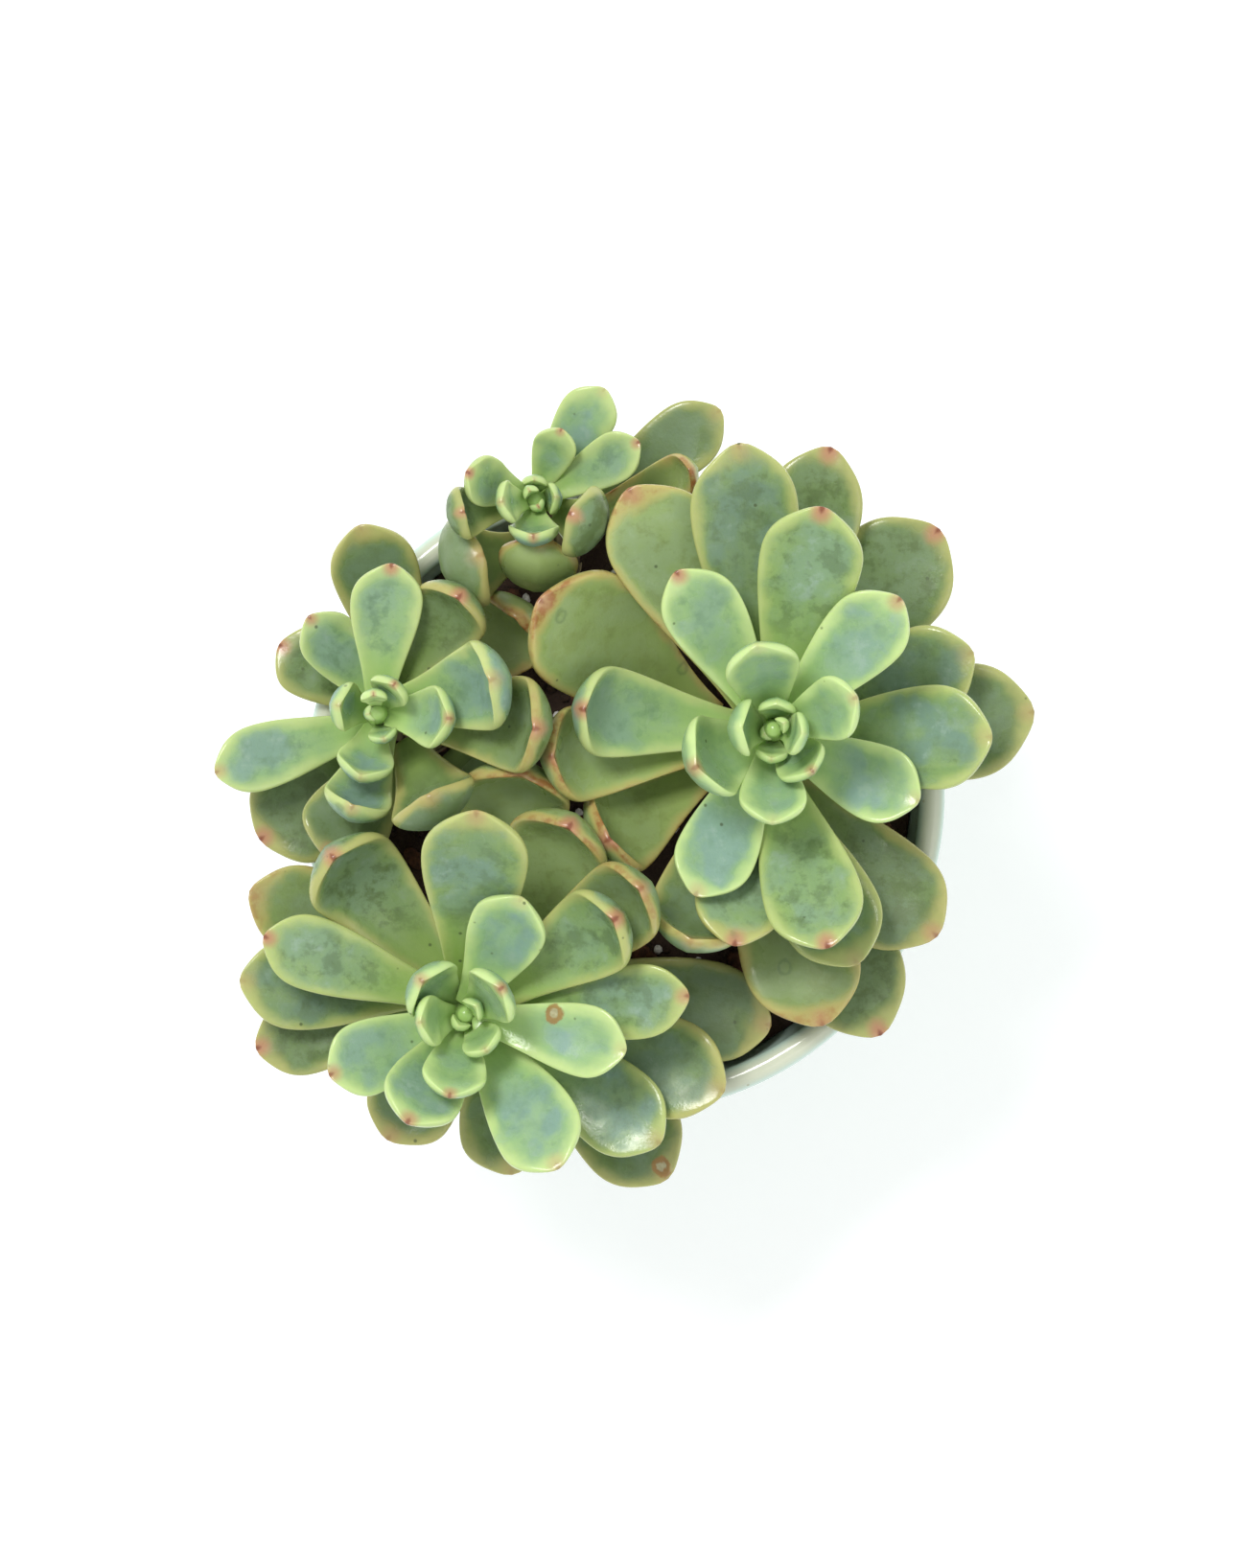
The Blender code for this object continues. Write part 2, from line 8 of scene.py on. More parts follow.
import bpy
import numpy as np
from mathutils.bvhtree import BVHTree
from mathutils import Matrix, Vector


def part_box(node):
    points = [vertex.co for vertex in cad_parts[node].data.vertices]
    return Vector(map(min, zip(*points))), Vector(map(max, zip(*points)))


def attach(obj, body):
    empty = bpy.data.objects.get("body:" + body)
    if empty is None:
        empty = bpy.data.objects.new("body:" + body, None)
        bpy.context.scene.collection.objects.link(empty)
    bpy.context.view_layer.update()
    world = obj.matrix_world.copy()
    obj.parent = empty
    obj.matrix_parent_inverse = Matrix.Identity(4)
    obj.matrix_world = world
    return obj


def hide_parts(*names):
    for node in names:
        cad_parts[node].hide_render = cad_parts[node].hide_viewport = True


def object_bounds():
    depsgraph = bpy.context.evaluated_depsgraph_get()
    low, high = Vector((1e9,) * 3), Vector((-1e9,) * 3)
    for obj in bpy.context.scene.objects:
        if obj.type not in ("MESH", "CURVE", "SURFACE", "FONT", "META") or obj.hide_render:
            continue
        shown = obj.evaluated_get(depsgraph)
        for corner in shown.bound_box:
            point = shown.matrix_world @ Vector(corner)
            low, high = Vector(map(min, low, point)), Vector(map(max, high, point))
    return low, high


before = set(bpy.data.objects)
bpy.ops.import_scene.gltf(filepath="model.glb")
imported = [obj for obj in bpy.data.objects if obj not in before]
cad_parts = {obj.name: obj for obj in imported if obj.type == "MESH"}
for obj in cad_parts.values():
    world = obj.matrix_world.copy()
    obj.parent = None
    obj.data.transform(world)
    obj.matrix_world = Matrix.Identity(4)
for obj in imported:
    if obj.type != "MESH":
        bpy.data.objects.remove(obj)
cad_low, cad_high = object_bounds()

# ---------------------------------------------------------------------------------------------------------
# Pot. A small tapered planter thrown in stoneware, with a pale celadon glaze over it inside and out. The
# foot ring is wiped clean before firing, so the bare clay shows there. The glaze is thin over the lip, and so
# it is warmer there.
# ---------------------------------------------------------------------------------------------------------

MM = 0.001
POT_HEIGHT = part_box("pot")[1].z
RIM_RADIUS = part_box("pot")[1].x
FOOT_RADIUS = 45 * MM
WALL = 5 * MM
POT_FLOOR = 8 * MM
FOOT_RING = 7 * MM  # how wide the ring is that the pot stands on
FOOT_RECESS = 2 * MM  # how deep the hollow is inside it
FOOT_ROUND = 5 * MM
THROWING_PITCH = 4.2 * MM  # from one finger ridge of the thrower to the next
THROWING_DEPTH = 0.12 * MM


def outer_radius(height):
    """Outside of the wall, which widens evenly from the foot to the rim."""
    return FOOT_RADIUS + (RIM_RADIUS - FOOT_RADIUS) * height / POT_HEIGHT


def inner_radius(height):
    """Inside of the wall, one wall's thickness nearer to the axis."""
    return outer_radius(height) - WALL


def pot_outline():
    """(radius, height) points from the middle of the foot, up the outside, over the lip and down to the
    floor: straight runs, joined by quarter circles at the foot and the floor and a half circle at the lip."""
    lip = WALL / 2
    lip_height = POT_HEIGHT - lip
    recess = FOOT_RADIUS - FOOT_ROUND - FOOT_RING
    foot_angle = np.radians(np.linspace(-90, 0, 9))
    lip_angle = np.radians(np.linspace(0, 180, 19))
    floor_angle = np.radians(np.linspace(0, 90, 7))
    wall_heights = np.linspace(FOOT_ROUND, lip_height, 90)[1:-1]
    inside_heights = np.linspace(lip_height, POT_FLOOR + FOOT_ROUND, 40)[1:]
    ridges = THROWING_DEPTH * np.sin(2 * math.pi * wall_heights / THROWING_PITCH)
    foot_middle = outer_radius(FOOT_ROUND) - FOOT_ROUND
    lip_middle = outer_radius(lip_height) - lip
    floor_middle = inner_radius(POT_FLOOR) - FOOT_ROUND
    runs = [
        (np.array([0, recess * 0.5, recess]), np.full(3, FOOT_RECESS)),
        (recess + FOOT_RECESS * np.array([0.5, 0.8]), FOOT_RECESS * np.array([0.3, 0.0])),
        (foot_middle + FOOT_ROUND * np.cos(foot_angle), FOOT_ROUND + FOOT_ROUND * np.sin(foot_angle)),
        (outer_radius(wall_heights) + ridges, wall_heights),
        (lip_middle + lip * np.cos(lip_angle), lip_height + lip * np.sin(lip_angle)),
        (inner_radius(inside_heights), inside_heights),
        (floor_middle + FOOT_ROUND * np.cos(floor_angle),
         POT_FLOOR + FOOT_ROUND - FOOT_ROUND * np.sin(floor_angle)),
        (np.array([floor_middle * 0.5, 0]), np.full(2, POT_FLOOR)),
    ]
    return np.concatenate([np.stack(run, axis=1) for run in runs])


def turns(sides):
    """The angles of a ring's corners, evenly round from +X."""
    return np.arange(sides) * 2 * math.pi / sides


def rings_round(radii, heights, sides, middles=(0, 0)):
    """Level rings: a corner is its ring's middle plus the radius times the cosine and the sine of its turn.
    The radii are one to a ring, or one to a corner."""
    radii = radii.reshape(len(heights), -1)
    middles = np.broadcast_to(middles, (len(heights), 2))
    x = middles[:, :1] + radii * np.cos(turns(sides))
    y = middles[:, 1:] + radii * np.sin(turns(sides))
    return np.stack([x, y, np.repeat(heights[:, None], sides, axis=1)], axis=2)


def closed_skin(rings, first, last):
    """Points and faces of rings of equal size, closed by one point at each end.

    The rings are an array of rings x corners x 3, and face outwards when they turn anticlockwise around the
    way from first to last."""
    count, sides = rings.shape[:2]
    points = np.concatenate([[first], rings.reshape(-1, 3), [last]])
    corner = 1 + np.arange(count * sides).reshape(count, sides)
    beside = np.roll(corner, -1, axis=1)
    quads = np.stack([corner[:-1], beside[:-1], beside[1:], corner[1:]], axis=2).reshape(-1, 4)
    start = np.stack([np.zeros(sides, int), beside[0], corner[0]], axis=1)
    end = np.stack([corner[-1], beside[-1], np.full(sides, len(points) - 1)], axis=1)
    return points, quads.tolist() + start.tolist() + end.tolist()


def add_piece(name, points, faces, finish, slot, replaced, values=None):
    """A smooth object that rides on the plant, stands for CAD nodes and carries named values per point."""
    mesh = bpy.data.meshes.new(name)
    mesh.from_pydata(points.tolist(), [], faces)
    for key, value in (values or {}).items():
        attribute = mesh.attributes.new(key, "FLOAT", "POINT")
        attribute.data.foreach_set("value", np.asarray(value, np.float32))
    mesh.shade_smooth()
    mesh.materials.append(finish)
    obj = bpy.data.objects.new(name, mesh)
    bpy.context.scene.collection.objects.link(obj)
    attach(obj, "root")
    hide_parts(*replaced)


def colour(code):
    """An sRGB hex code as the linear colour that a shader takes."""
    parts = np.array([int(code[i:i + 2], 16) for i in (1, 3, 5)]) / 255
    linear = np.where(parts <= 0.04045, parts / 12.92, ((parts + 0.055) / 1.055) ** 2.4)
    return (*linear.tolist(), 1.0)


def add_node(tree, kind, inputs=None, **settings):
    """Adds a node with its settings. An input given as a socket is linked, anything else is its value."""
    made = tree.nodes.new("ShaderNode" + kind)
    for key, value in settings.items():
        setattr(made, key, value)
    for key, value in (inputs or {}).items():
        if isinstance(value, bpy.types.NodeSocket):
            tree.links.new(value, made.inputs[key])
        else:
            made.inputs[key].default_value = value
    return made


def new_finish(name):
    """An empty material, its node tree and its Object coordinates."""
    made = bpy.data.materials.new(name)
    made.use_nodes = True
    made.node_tree.nodes.clear()
    place = add_node(made.node_tree, "TexCoord").outputs["Object"]
    return made, made.node_tree, place


def shade(tree, inputs):
    """Ends a material: its shader, with what each input is or is linked to, joined to the output."""
    shader = add_node(tree, "BsdfPrincipled", inputs)
    add_node(tree, "OutputMaterial", {"Surface": shader.outputs[0]})


def pattern_scale(width):
    """The scale of a pattern whose features are this many millimetres wide."""
    return 1 / (width * MM)


# Factor, first colour and second colour of a Mix node that mixes colours, and its result
FACTOR, FIRST, SECOND, MIXED = 0, 6, 7, 2


def celadon_glaze():
    """Celadon: a pale green feldspar glaze fired over stoneware. It is glassy, carries tiny iron specks, and
    ends above the bare buff clay of the foot ring."""
    finish, tree, place = new_finish("celadon_glaze_on_stoneware")
    # Clouds in the glaze, the wavering end of it at the foot, the grain of the clay, and slow ripples
    cloud, edge, grain, ripple = (
        add_node(tree, "TexNoise", {"Vector": place, "Scale": pattern_scale(width),
                                    "Detail": detail}).outputs[0]
        for width, detail in ((22.2, 4.0), (6.25, 2.0), (0.714, 3.0), (9.09, 2.0))
    )
    cells = add_node(tree, "TexVoronoi", {"Vector": place, "Scale": pattern_scale(2.38)})
    draw = add_node(tree, "SeparateColor", {"Color": cells.outputs["Color"]}).outputs[0]
    height = add_node(tree, "SeparateXYZ", {"Vector": place}).outputs["Z"]
    # Iron specks 0.4 mm wide, in one cell out of eight
    speck = add_node(tree, "MapRange", {"Value": cells.outputs["Distance"], "From Min": 0.10,
                                        "From Max": 0.17, "To Min": 1.0, "To Max": 0.0}).outputs[0]
    chosen = add_node(tree, "MapRange", {"Value": draw, "From Min": 0.86, "From Max": 0.88}).outputs[0]
    specks = add_node(tree, "Math", {0: speck, 1: chosen}, operation="MULTIPLY").outputs[0]
    # The glaze ends 3 mm above the foot, and runs thin over the lip
    ragged = add_node(tree, "Math", {0: edge, 1: 1.2 * MM, 2: height}, operation="MULTIPLY_ADD").outputs[0]
    glazed = add_node(tree, "MapRange", {"Value": ragged, "From Min": 2.4 * MM,
                                         "From Max": 3.0 * MM}).outputs[0]
    lip = add_node(tree, "MapRange", {"Value": height, "From Min": POT_HEIGHT - 1.6 * MM,
                                      "From Max": POT_HEIGHT}, interpolation_type="SMOOTHSTEP").outputs[0]
    clay = add_node(tree, "Mix", {FACTOR: grain, FIRST: colour("#A8916F"), SECOND: colour("#CDBB9C")},
                    data_type="RGBA").outputs[MIXED]
    base = colour("#AFCBBD")
    for share, tint in ((cloud, colour("#C6DBD0")), (specks, colour("#8A8A6C")), (lip, colour("#C9CDB6"))):
        base = add_node(tree, "Mix", {FACTOR: share, FIRST: base, SECOND: tint},
                        data_type="RGBA").outputs[MIXED]
    surface = add_node(tree, "Mix", {FACTOR: glazed, FIRST: clay, SECOND: base},
                       data_type="RGBA").outputs[MIXED]
    roughness = add_node(tree, "MapRange", {"Value": glazed, "To Min": 0.85, "To Max": 0.16}).outputs[0]
    bump = add_node(tree, "Bump", {"Height": ripple, "Strength": 0.12, "Distance": 1.0 * MM}).outputs[0]
    shade(tree, {"Base Color": surface, "Roughness": roughness, "Normal": bump, "IOR": 1.5})
    return finish


outline = pot_outline()
POT_SIDES = 160
pot_rings = rings_round(outline[1:-1, 0], outline[1:-1, 1], POT_SIDES)
pot_skin = closed_skin(pot_rings, (0, 0, outline[0, 1]), (0, 0, outline[-1, 1]))
add_piece("glazed_pot", *pot_skin, celadon_glaze(), "pot_glaze", ["pot"])

# ---------------------------------------------------------------------------------------------------------
# Potting mix. Dark peat and leaf mould with crushed bark and white perlite for drainage, filled to a finger's
# width under the rim and a little mounded. The larger grains lie loose on top.
# ---------------------------------------------------------------------------------------------------------

SOIL_BELOW_RIM = 9 * MM
SOIL_MOUND = 3 * MM
GAP = 0.3 * MM  # between parts that lie against each other
SOIL_EDGE = inner_radius(POT_HEIGHT - SOIL_BELOW_RIM) - GAP
CRUMB = 0.9 * MM  # how far the crumbs of the mix stand out
CRUMB_WAVES = ((230, 0.5), (480, 0.3), (900, 0.2))  # radians a metre, so 27 to 7 mm a wave, and share of height
GRAIN_DENT = 0.22  # how far a grain's corners are moved, as a share of its size
GRAIN_TILT = 0.35
GRAIN_SUNK = 0.2  # how much of a grain's thickness its middle stands above the ground
GRAIN_CLEAR = 3 * MM  # from the wall to the middle of the nearest grain
chance = np.random.default_rng(11)


def soil_height(radius):
    """Top of the mix: a low mound that falls to the wall."""
    return POT_HEIGHT - SOIL_BELOW_RIM + SOIL_MOUND * np.maximum(0.0, 1 - (radius / SOIL_EDGE) ** 2)


def crumbs(x, y):
    """Rough ground between 0 and 1: the sum of crossed sine waves, each bent by slower ones."""
    total = np.zeros_like(x)
    for number, (rate, weight) in enumerate(CRUMB_WAVES):
        bend_x = 0.9 * np.sin(rate * 0.41 * y + 2.1 * number) + 0.5 * np.sin(rate * 0.73 * x + 1.3)
        bend_y = 0.9 * np.sin(rate * 0.37 * x + 4.2 * number) + 0.5 * np.sin(rate * 0.81 * y + 0.4)
        total += weight * (np.sin(rate * x + bend_y * 2) * np.sin(rate * y + bend_x * 2) * 0.5 + 0.5)
    return total


def potting_mix():
    """Peat and composted bark: matt and dark brown, with brown fibres and paler crumbs. Its ground is near
    black, partly as painted shade for the mix seen in the gaps under the leaves.
    """
    finish, tree, place = new_finish("peat_and_bark_mix")
    fine = add_node(tree, "TexNoise", {"Vector": place, "Scale": pattern_scale(1.11), "Detail": 6.0,
                                       "Roughness": 0.7}).outputs[0]
    lump = add_node(tree, "TexNoise", {"Vector": place, "Scale": pattern_scale(5.88),
                                       "Detail": 3.0}).outputs[0]
    patch = add_node(tree, "MapRange", {"Value": lump, "From Min": 0.45, "From Max": 0.7}).outputs[0]
    # Near-black ground: dark peat, darkened further as painted shade for the mix in the gaps under the leaves
    base = colour("#120B07")
    for share, tint in ((fine, colour("#4A3324")), (patch, colour("#2E1D12"))):
        base = add_node(tree, "Mix", {FACTOR: share, FIRST: base, SECOND: tint},
                        data_type="RGBA").outputs[MIXED]
    bump = add_node(tree, "Bump", {"Height": fine, "Strength": 0.8, "Distance": 0.5 * MM}).outputs[0]
    shade(tree, {"Base Color": base, "Normal": bump, "Roughness": 0.92})
    return finish


# The plug: its bottom edge and its side, then the mound ring by ring to the middle, with crumbs on it
SOIL_SIDES = 240
SOIL_RINGS = 90
low = POT_FLOOR + GAP
side_radius = inner_radius(POT_FLOOR + FOOT_ROUND)
side_rings = rings_round(np.array([side_radius - FOOT_ROUND, side_radius - GAP]),
                         np.array([low, low + FOOT_ROUND]), SOIL_SIDES)
soil_radii = SOIL_EDGE * np.linspace(1.0, 0.01, SOIL_RINGS)
mound_rings = rings_round(soil_radii, soil_height(soil_radii), SOIL_SIDES)
mound_rings[..., 2] += CRUMB * (crumbs(mound_rings[..., 0], mound_rings[..., 1]) - 0.5)
mound_top = mound_rings[-1, :, 2].mean()
soil_skin = closed_skin(np.concatenate([side_rings, mound_rings]), (0, 0, low), (0, 0, mound_top))
add_piece("peat_mix", *soil_skin, potting_mix(), "potting_mix", ["soil"])

# One pebble is a ball of a few dozen faces, squashed and dented for each grain
BALL_RINGS, BALL_SIDES = 5, 8
ball_polar = np.radians(np.linspace(0, 180, BALL_RINGS + 2)[1:-1])[::-1]
ball_rings = rings_round(np.sin(ball_polar), np.cos(ball_polar), BALL_SIDES)
ball_points, ball_faces = closed_skin(ball_rings, (0, 0, -1), (0, 0, 1))


def scatter(count, sizes, flatness):
    """Points and faces of loose grains, pressed into the top of the mix, each turned, squashed and dented."""
    radius = (SOIL_EDGE - GRAIN_CLEAR) * np.sqrt(chance.random(count))
    angle = chance.random(count) * 2 * math.pi
    size = sizes[0] + (sizes[1] - sizes[0]) * chance.random((count, 1, 1)) ** 2
    dents = 1 + GRAIN_DENT * (chance.random((count, len(ball_points), 1)) - 0.5)
    stretch = np.stack([np.ones(count), 0.6 + 0.4 * chance.random(count), np.full(count, flatness)], axis=1)
    local = ball_points[None] * dents * stretch[:, None]
    spin = chance.random(count) * 2 * math.pi
    cos, sin = np.cos(spin)[:, None], np.sin(spin)[:, None]
    tilt = GRAIN_TILT * (chance.random((count, 1)) - 0.5)
    turned = np.stack([local[..., 0] * cos - local[..., 1] * sin, local[..., 0] * sin + local[..., 1] * cos,
                       local[..., 2] + tilt * local[..., 0]], axis=2) * size / 2
    x, y = radius * np.cos(angle), radius * np.sin(angle)
    z = soil_height(radius) + CRUMB * (crumbs(x, y) - 0.5) + size[:, 0, 0] * flatness * GRAIN_SUNK
    points = (turned + np.stack([x, y, z], axis=1)[:, None]).reshape(-1, 3)
    starts = range(0, len(points), len(ball_points))
    return points, [[corner + start for corner in face] for start in starts for face in ball_faces]


def grain_finish(name, first, second, width, roughness):
    """A mineral or woody grain: two close colours in noise of this width, matt, with a pitted surface."""
    finish, tree, place = new_finish(name)
    noise = add_node(tree, "TexNoise", {"Vector": place, "Scale": pattern_scale(width), "Detail": 5.0,
                                        "Roughness": 0.65}).outputs[0]
    spread = add_node(tree, "MapRange", {"Value": noise, "From Min": 0.3, "From Max": 0.7}).outputs[0]
    base = add_node(tree, "Mix", {FACTOR: spread, FIRST: colour(first), SECOND: colour(second)},
                    data_type="RGBA").outputs[MIXED]
    bump = add_node(tree, "Bump", {"Height": noise, "Strength": 0.7, "Distance": 0.4 * MM}).outputs[0]
    shade(tree, {"Base Color": base, "Normal": bump, "Roughness": roughness})
    return finish


# Perlite is popped volcanic glass, white and pitted. Bark is shredded pine, brown and flat. Each kind of
# grain is its piece, how many there are, their least and greatest size and how flat they are, then its finish
# with two colours, the width of its noise in millimetres and its roughness.
GRAINS = (
    ("perlite_grains", 150, (1.2 * MM, 3.4 * MM), 0.75,
     "expanded_perlite", "#B9B2A6", "#EFECE4", 0.667, 0.85),
    ("bark_chips", 260, (1.8 * MM, 6.0 * MM), 0.35,
     "composted_pine_bark", "#2B170E", "#6E4329", 1.67, 0.9),
    ("peat_crumbs", 700, (0.8 * MM, 2.6 * MM), 0.7,
     "peat_crumb", "#150D08", "#3D2718", 0.909, 0.95),
)
for name, count, sizes, flatness, *look in GRAINS:
    add_piece(name, *scatter(count, sizes, flatness), grain_finish(*look), "potting_mix", ["soil"])

# ---------------------------------------------------------------------------------------------------------
# Stems. Each rosette stands on a short woody stem that leans out from the middle of the pot. Old leaves have
# dropped from it and left a ring of pale scars, under corky brown bark.
# ---------------------------------------------------------------------------------------------------------

STEM_FOOT_RADIUS = 5.0 * MM
STEM_TOP_RADIUS = 3.0 * MM
STEM_DEPTH = 14 * MM  # how far it stands in the mix
STEM_SIDE_SOIL = 0.8 * MM  # the least mix between it and the pot
SOCKET_RADIUS = STEM_FOOT_RADIUS + 2 * GAP
STEM_LEAN = 9 * MM  # how much nearer to the middle of the pot its foot is than its heart
STEM_RINGS = 50
STEM_SIDES = 36
LEAN_POWER = 1.4  # the lean grows with this power of the way up
SCAR_STEP = 0.9 * MM  # from one leaf scar up to the next
SCAR_TURN = 2.4  # and round the stem, in radians: the golden angle
SCAR_HALF_HEIGHT = 0.8 * MM
SCAR_HALF_TURN = 0.45
SCAR_SWELLING = 0.35 * MM

# Each leaf is its direction from the heart in degrees, the reach of its tip and its width in mm, its habit,
# and how far the sun has tanned it. Directions turn from +X towards +Y. Within a rosette the tiers go from
# the oldest leaves to the youngest. "heart" is where the rosette's middle stands, "rise" how high its stem is
# above the mix, and the value after it how much duller and darker its leaves are than their age alone makes
# them. That extra darkening is painted shade, for the light that falls off towards the back left.
ROSETTES = {
    "main": {
        "heart": (27.5 * MM, 11.7 * MM),
        "rise": 30 * MM,
        "wear_and_shade": 0.0,
        "leaves": [
            [(290, 60.4, 21, "low", 0.1), (309, 49.3, 21, "low", 0.3), (4, 49, 22, "low", 0.1),
             (50, 49, 23, "low", 0.15), (78, 53.5, 19, "low", 0.1), (280, 55.6, 22, "low", 0.6)],
            [(151, 50, 24, "spread", 0.8), (121, 51.5, 21, "spread", 0.65), (97, 52.5, 20, "spread", 0.2),
             (21, 40.2, 18, "spread", 0.2), (290, 46.4, 19, "spread", 0.1), (249, 43.8, 18, "hooked", 0.5),
             (214, 39, 18, "hooked", 0.8)],
            [(187, 43, 18, "hooked", 0.8), (260, 40.8, 17, "spread", 0.4), (358, 40.7, 19.5, "spread", 0.1),
             (78, 41.4, 18.9, "spread", 0.0), (284, 41.7, 18.4, "spread", 0.0)],
        ],
        "young": [
            [(174, 37, 17, "hooked", 0.2), (245, 34, 15, "heart", 0.0), (334, 30.3, 14.5, "heart", 0.0),
             (46, 33.2, 15, "heart", 0.0), (122, 34, 14.6, "heart", 0.0)],
            [(206, 17.4, 16, "cupped", 0.0), (269, 18, 12.5, "heart", 0.0), (312, 11.2, 10, "heart", 0.0),
             (21, 16.4, 12, "heart", 0.0), (103, 16.4, 13.7, "heart", 0.0)],
            [(178, 7.9, 10.5, "cupped", 0.0), (265, 6.2, 6, "heart", 0.0), (350, 5.9, 8, "heart", 0.0),
             (85, 5.4, 7, "heart", 0.0)],
            [(30, 2.6, 3.2, "bud", 0.0), (210, 2.4, 3, "bud", 0.0)],
        ],
    },
    "front": {
        "heart": (-29.5 * MM, -41.2 * MM),
        "rise": 26 * MM,
        "wear_and_shade": 0.05,
        "leaves": [
            [(238, 28.6, 17, "low", 0.3), (285, 31.7, 17, "low", 0.2), (320, 48.7, 20, "low", 0.2),
             (357, 56.7, 19, "low", 0.3), (190, 40, 16, "low", 0.2)],
            [(77, 48, 21, "hooked", 0.8), (61, 42, 20, "hooked", 0.7), (343, 50.2, 19, "spread", 0.35),
             (151, 46.5, 17, "spread", 0.6), (172, 42.7, 17, "spread", 0.15), (36, 42, 17, "hooked", 0.6),
             (130, 40, 19, "hooked", 0.3)],
            [(326, 43.5, 17, "spread", 0.1), (5, 41.4, 14, "spread", 0.1), (33, 34.8, 17, "hooked", 0.3),
             (86, 38.6, 19.7, "spread", 0.25), (159, 40, 14, "spread", 0.05)],
        ],
        "young": [
            [(302, 33.3, 16.5, "spread", 0.0), (242, 22.9, 15, "heart", 0.0), (204, 27.8, 14, "heart", 0.0),
             (348, 30.6, 13.5, "heart", 0.0), (64, 25, 14.5, "heart", 0.0)],
            [(260, 15.6, 12, "heart", 0.0), (139, 11.5, 12.5, "cupped", 0.0), (38, 10, 12, "heart", 0.0)],
            [(187, 9, 9.5, "heart", 0.0), (303, 8.2, 8, "heart", 0.0)],
            [(40, 3.6, 5, "bud", 0.0), (240, 3, 4, "bud", 0.0)],
        ],
    },
    "left": {
        "heart": (-45.9 * MM, 14.9 * MM),
        "rise": 23 * MM,
        "wear_and_shade": 0.3,
        "leaves": [
            [(226, 32.8, 20, "low", 0.2), (250, 29, 17, "low", 0.1), (322, 27, 16, "low", 0.2),
             (36, 34, 17, "hooked", 0.9)],
            [(96, 35.7, 16.5, "spread", 0.3), (146, 23.2, 14, "low", 0.2), (54, 28, 15, "hooked", 0.4),
             (354, 32, 18, "hooked", 0.5), (302, 23, 17, "hooked", 0.4)],
        ],
        "young": [
            [(255, 20, 13, "hooked", 0.1), (15, 25, 17, "hooked", 0.2), (200, 32.4, 12.5, "spread", 0.0),
             (84, 27.8, 13.4, "heart", 0.0), (126, 22.6, 11.5, "heart", 0.0)],
            [(256, 13.2, 10.8, "cupped", 0.0), (355, 14.8, 11.7, "cupped", 0.0),
             (170, 8.4, 9.3, "cupped", 0.0), (55, 7, 8, "heart", 0.0)],
            [(285, 5.8, 5.5, "heart", 0.0), (95, 4, 5, "heart", 0.0)],
            [(190, 2.2, 3, "bud", 0.0)],
        ],
    },
    "back": {
        "heart": (-16.7 * MM, 54.5 * MM),
        "rise": 20 * MM,
        "wear_and_shade": 0.3,
        "leaves": [
            [(27, 38.7, 13.5, "low", 0.1), (12, 30.9, 9, "hooked", 0.9), (219, 20, 18, "hooked", 0.4)],
            [(270, 15, 15, "hooked", 0.9), (335, 13, 14, "hooked", 0.1), (193, 15.5, 10, "hooked", 0.1)],
        ],
        "young": [
            [(58, 24.7, 11, "spread", 0.0), (29, 22.4, 9.5, "heart", 0.0), (69, 14.5, 8.3, "heart", 0.0),
             (160, 13.6, 9.5, "heart", 0.0)],
            [(190, 6.8, 8, "heart", 0.0), (270, 8.5, 9.5, "cupped", 0.0), (5, 4.8, 6, "heart", 0.0),
             (90, 4.3, 5, "heart", 0.0)],
            [(120, 2.4, 3.2, "bud", 0.0), (300, 2.2, 3, "bud", 0.0)],
        ],
    },
}


def stem_ground(rosette):
    """Where a stem leaves the mix: nearer to the pot's axis than its heart is."""
    heart = np.array(rosette["heart"])
    away = np.hypot(*heart)
    socket_foot = POT_HEIGHT - SOIL_BELOW_RIM - STEM_DEPTH - 2 * GAP
    furthest = inner_radius(socket_foot) - GAP - STEM_SIDE_SOIL - SOCKET_RADIUS
    return heart * min(away - STEM_LEAN, furthest) / away


def stem_foot_height(rosette):
    """The top of the mix where the stem stands."""
    return float(soil_height(np.hypot(*stem_ground(rosette))))


def stem_share(rosette, height):
    """How far up the stem a height is, from 0 at the mix to 1 at the heart."""
    return np.clip((height - stem_foot_height(rosette)) / rosette["rise"], 0, 1)


def stem_middle(rosette, height):
    """Middle of the stem at a height: upright in the mix, then leaning out until it is under the heart."""
    share = stem_share(rosette, height) ** LEAN_POWER
    return stem_ground(rosette) * (1 - share) + np.array(rosette["heart"]) * share


def stem_radius(rosette, height):
    """The stem thins evenly from the mix to the heart."""
    return STEM_FOOT_RADIUS + (STEM_TOP_RADIUS - STEM_FOOT_RADIUS) * stem_share(rosette, height)


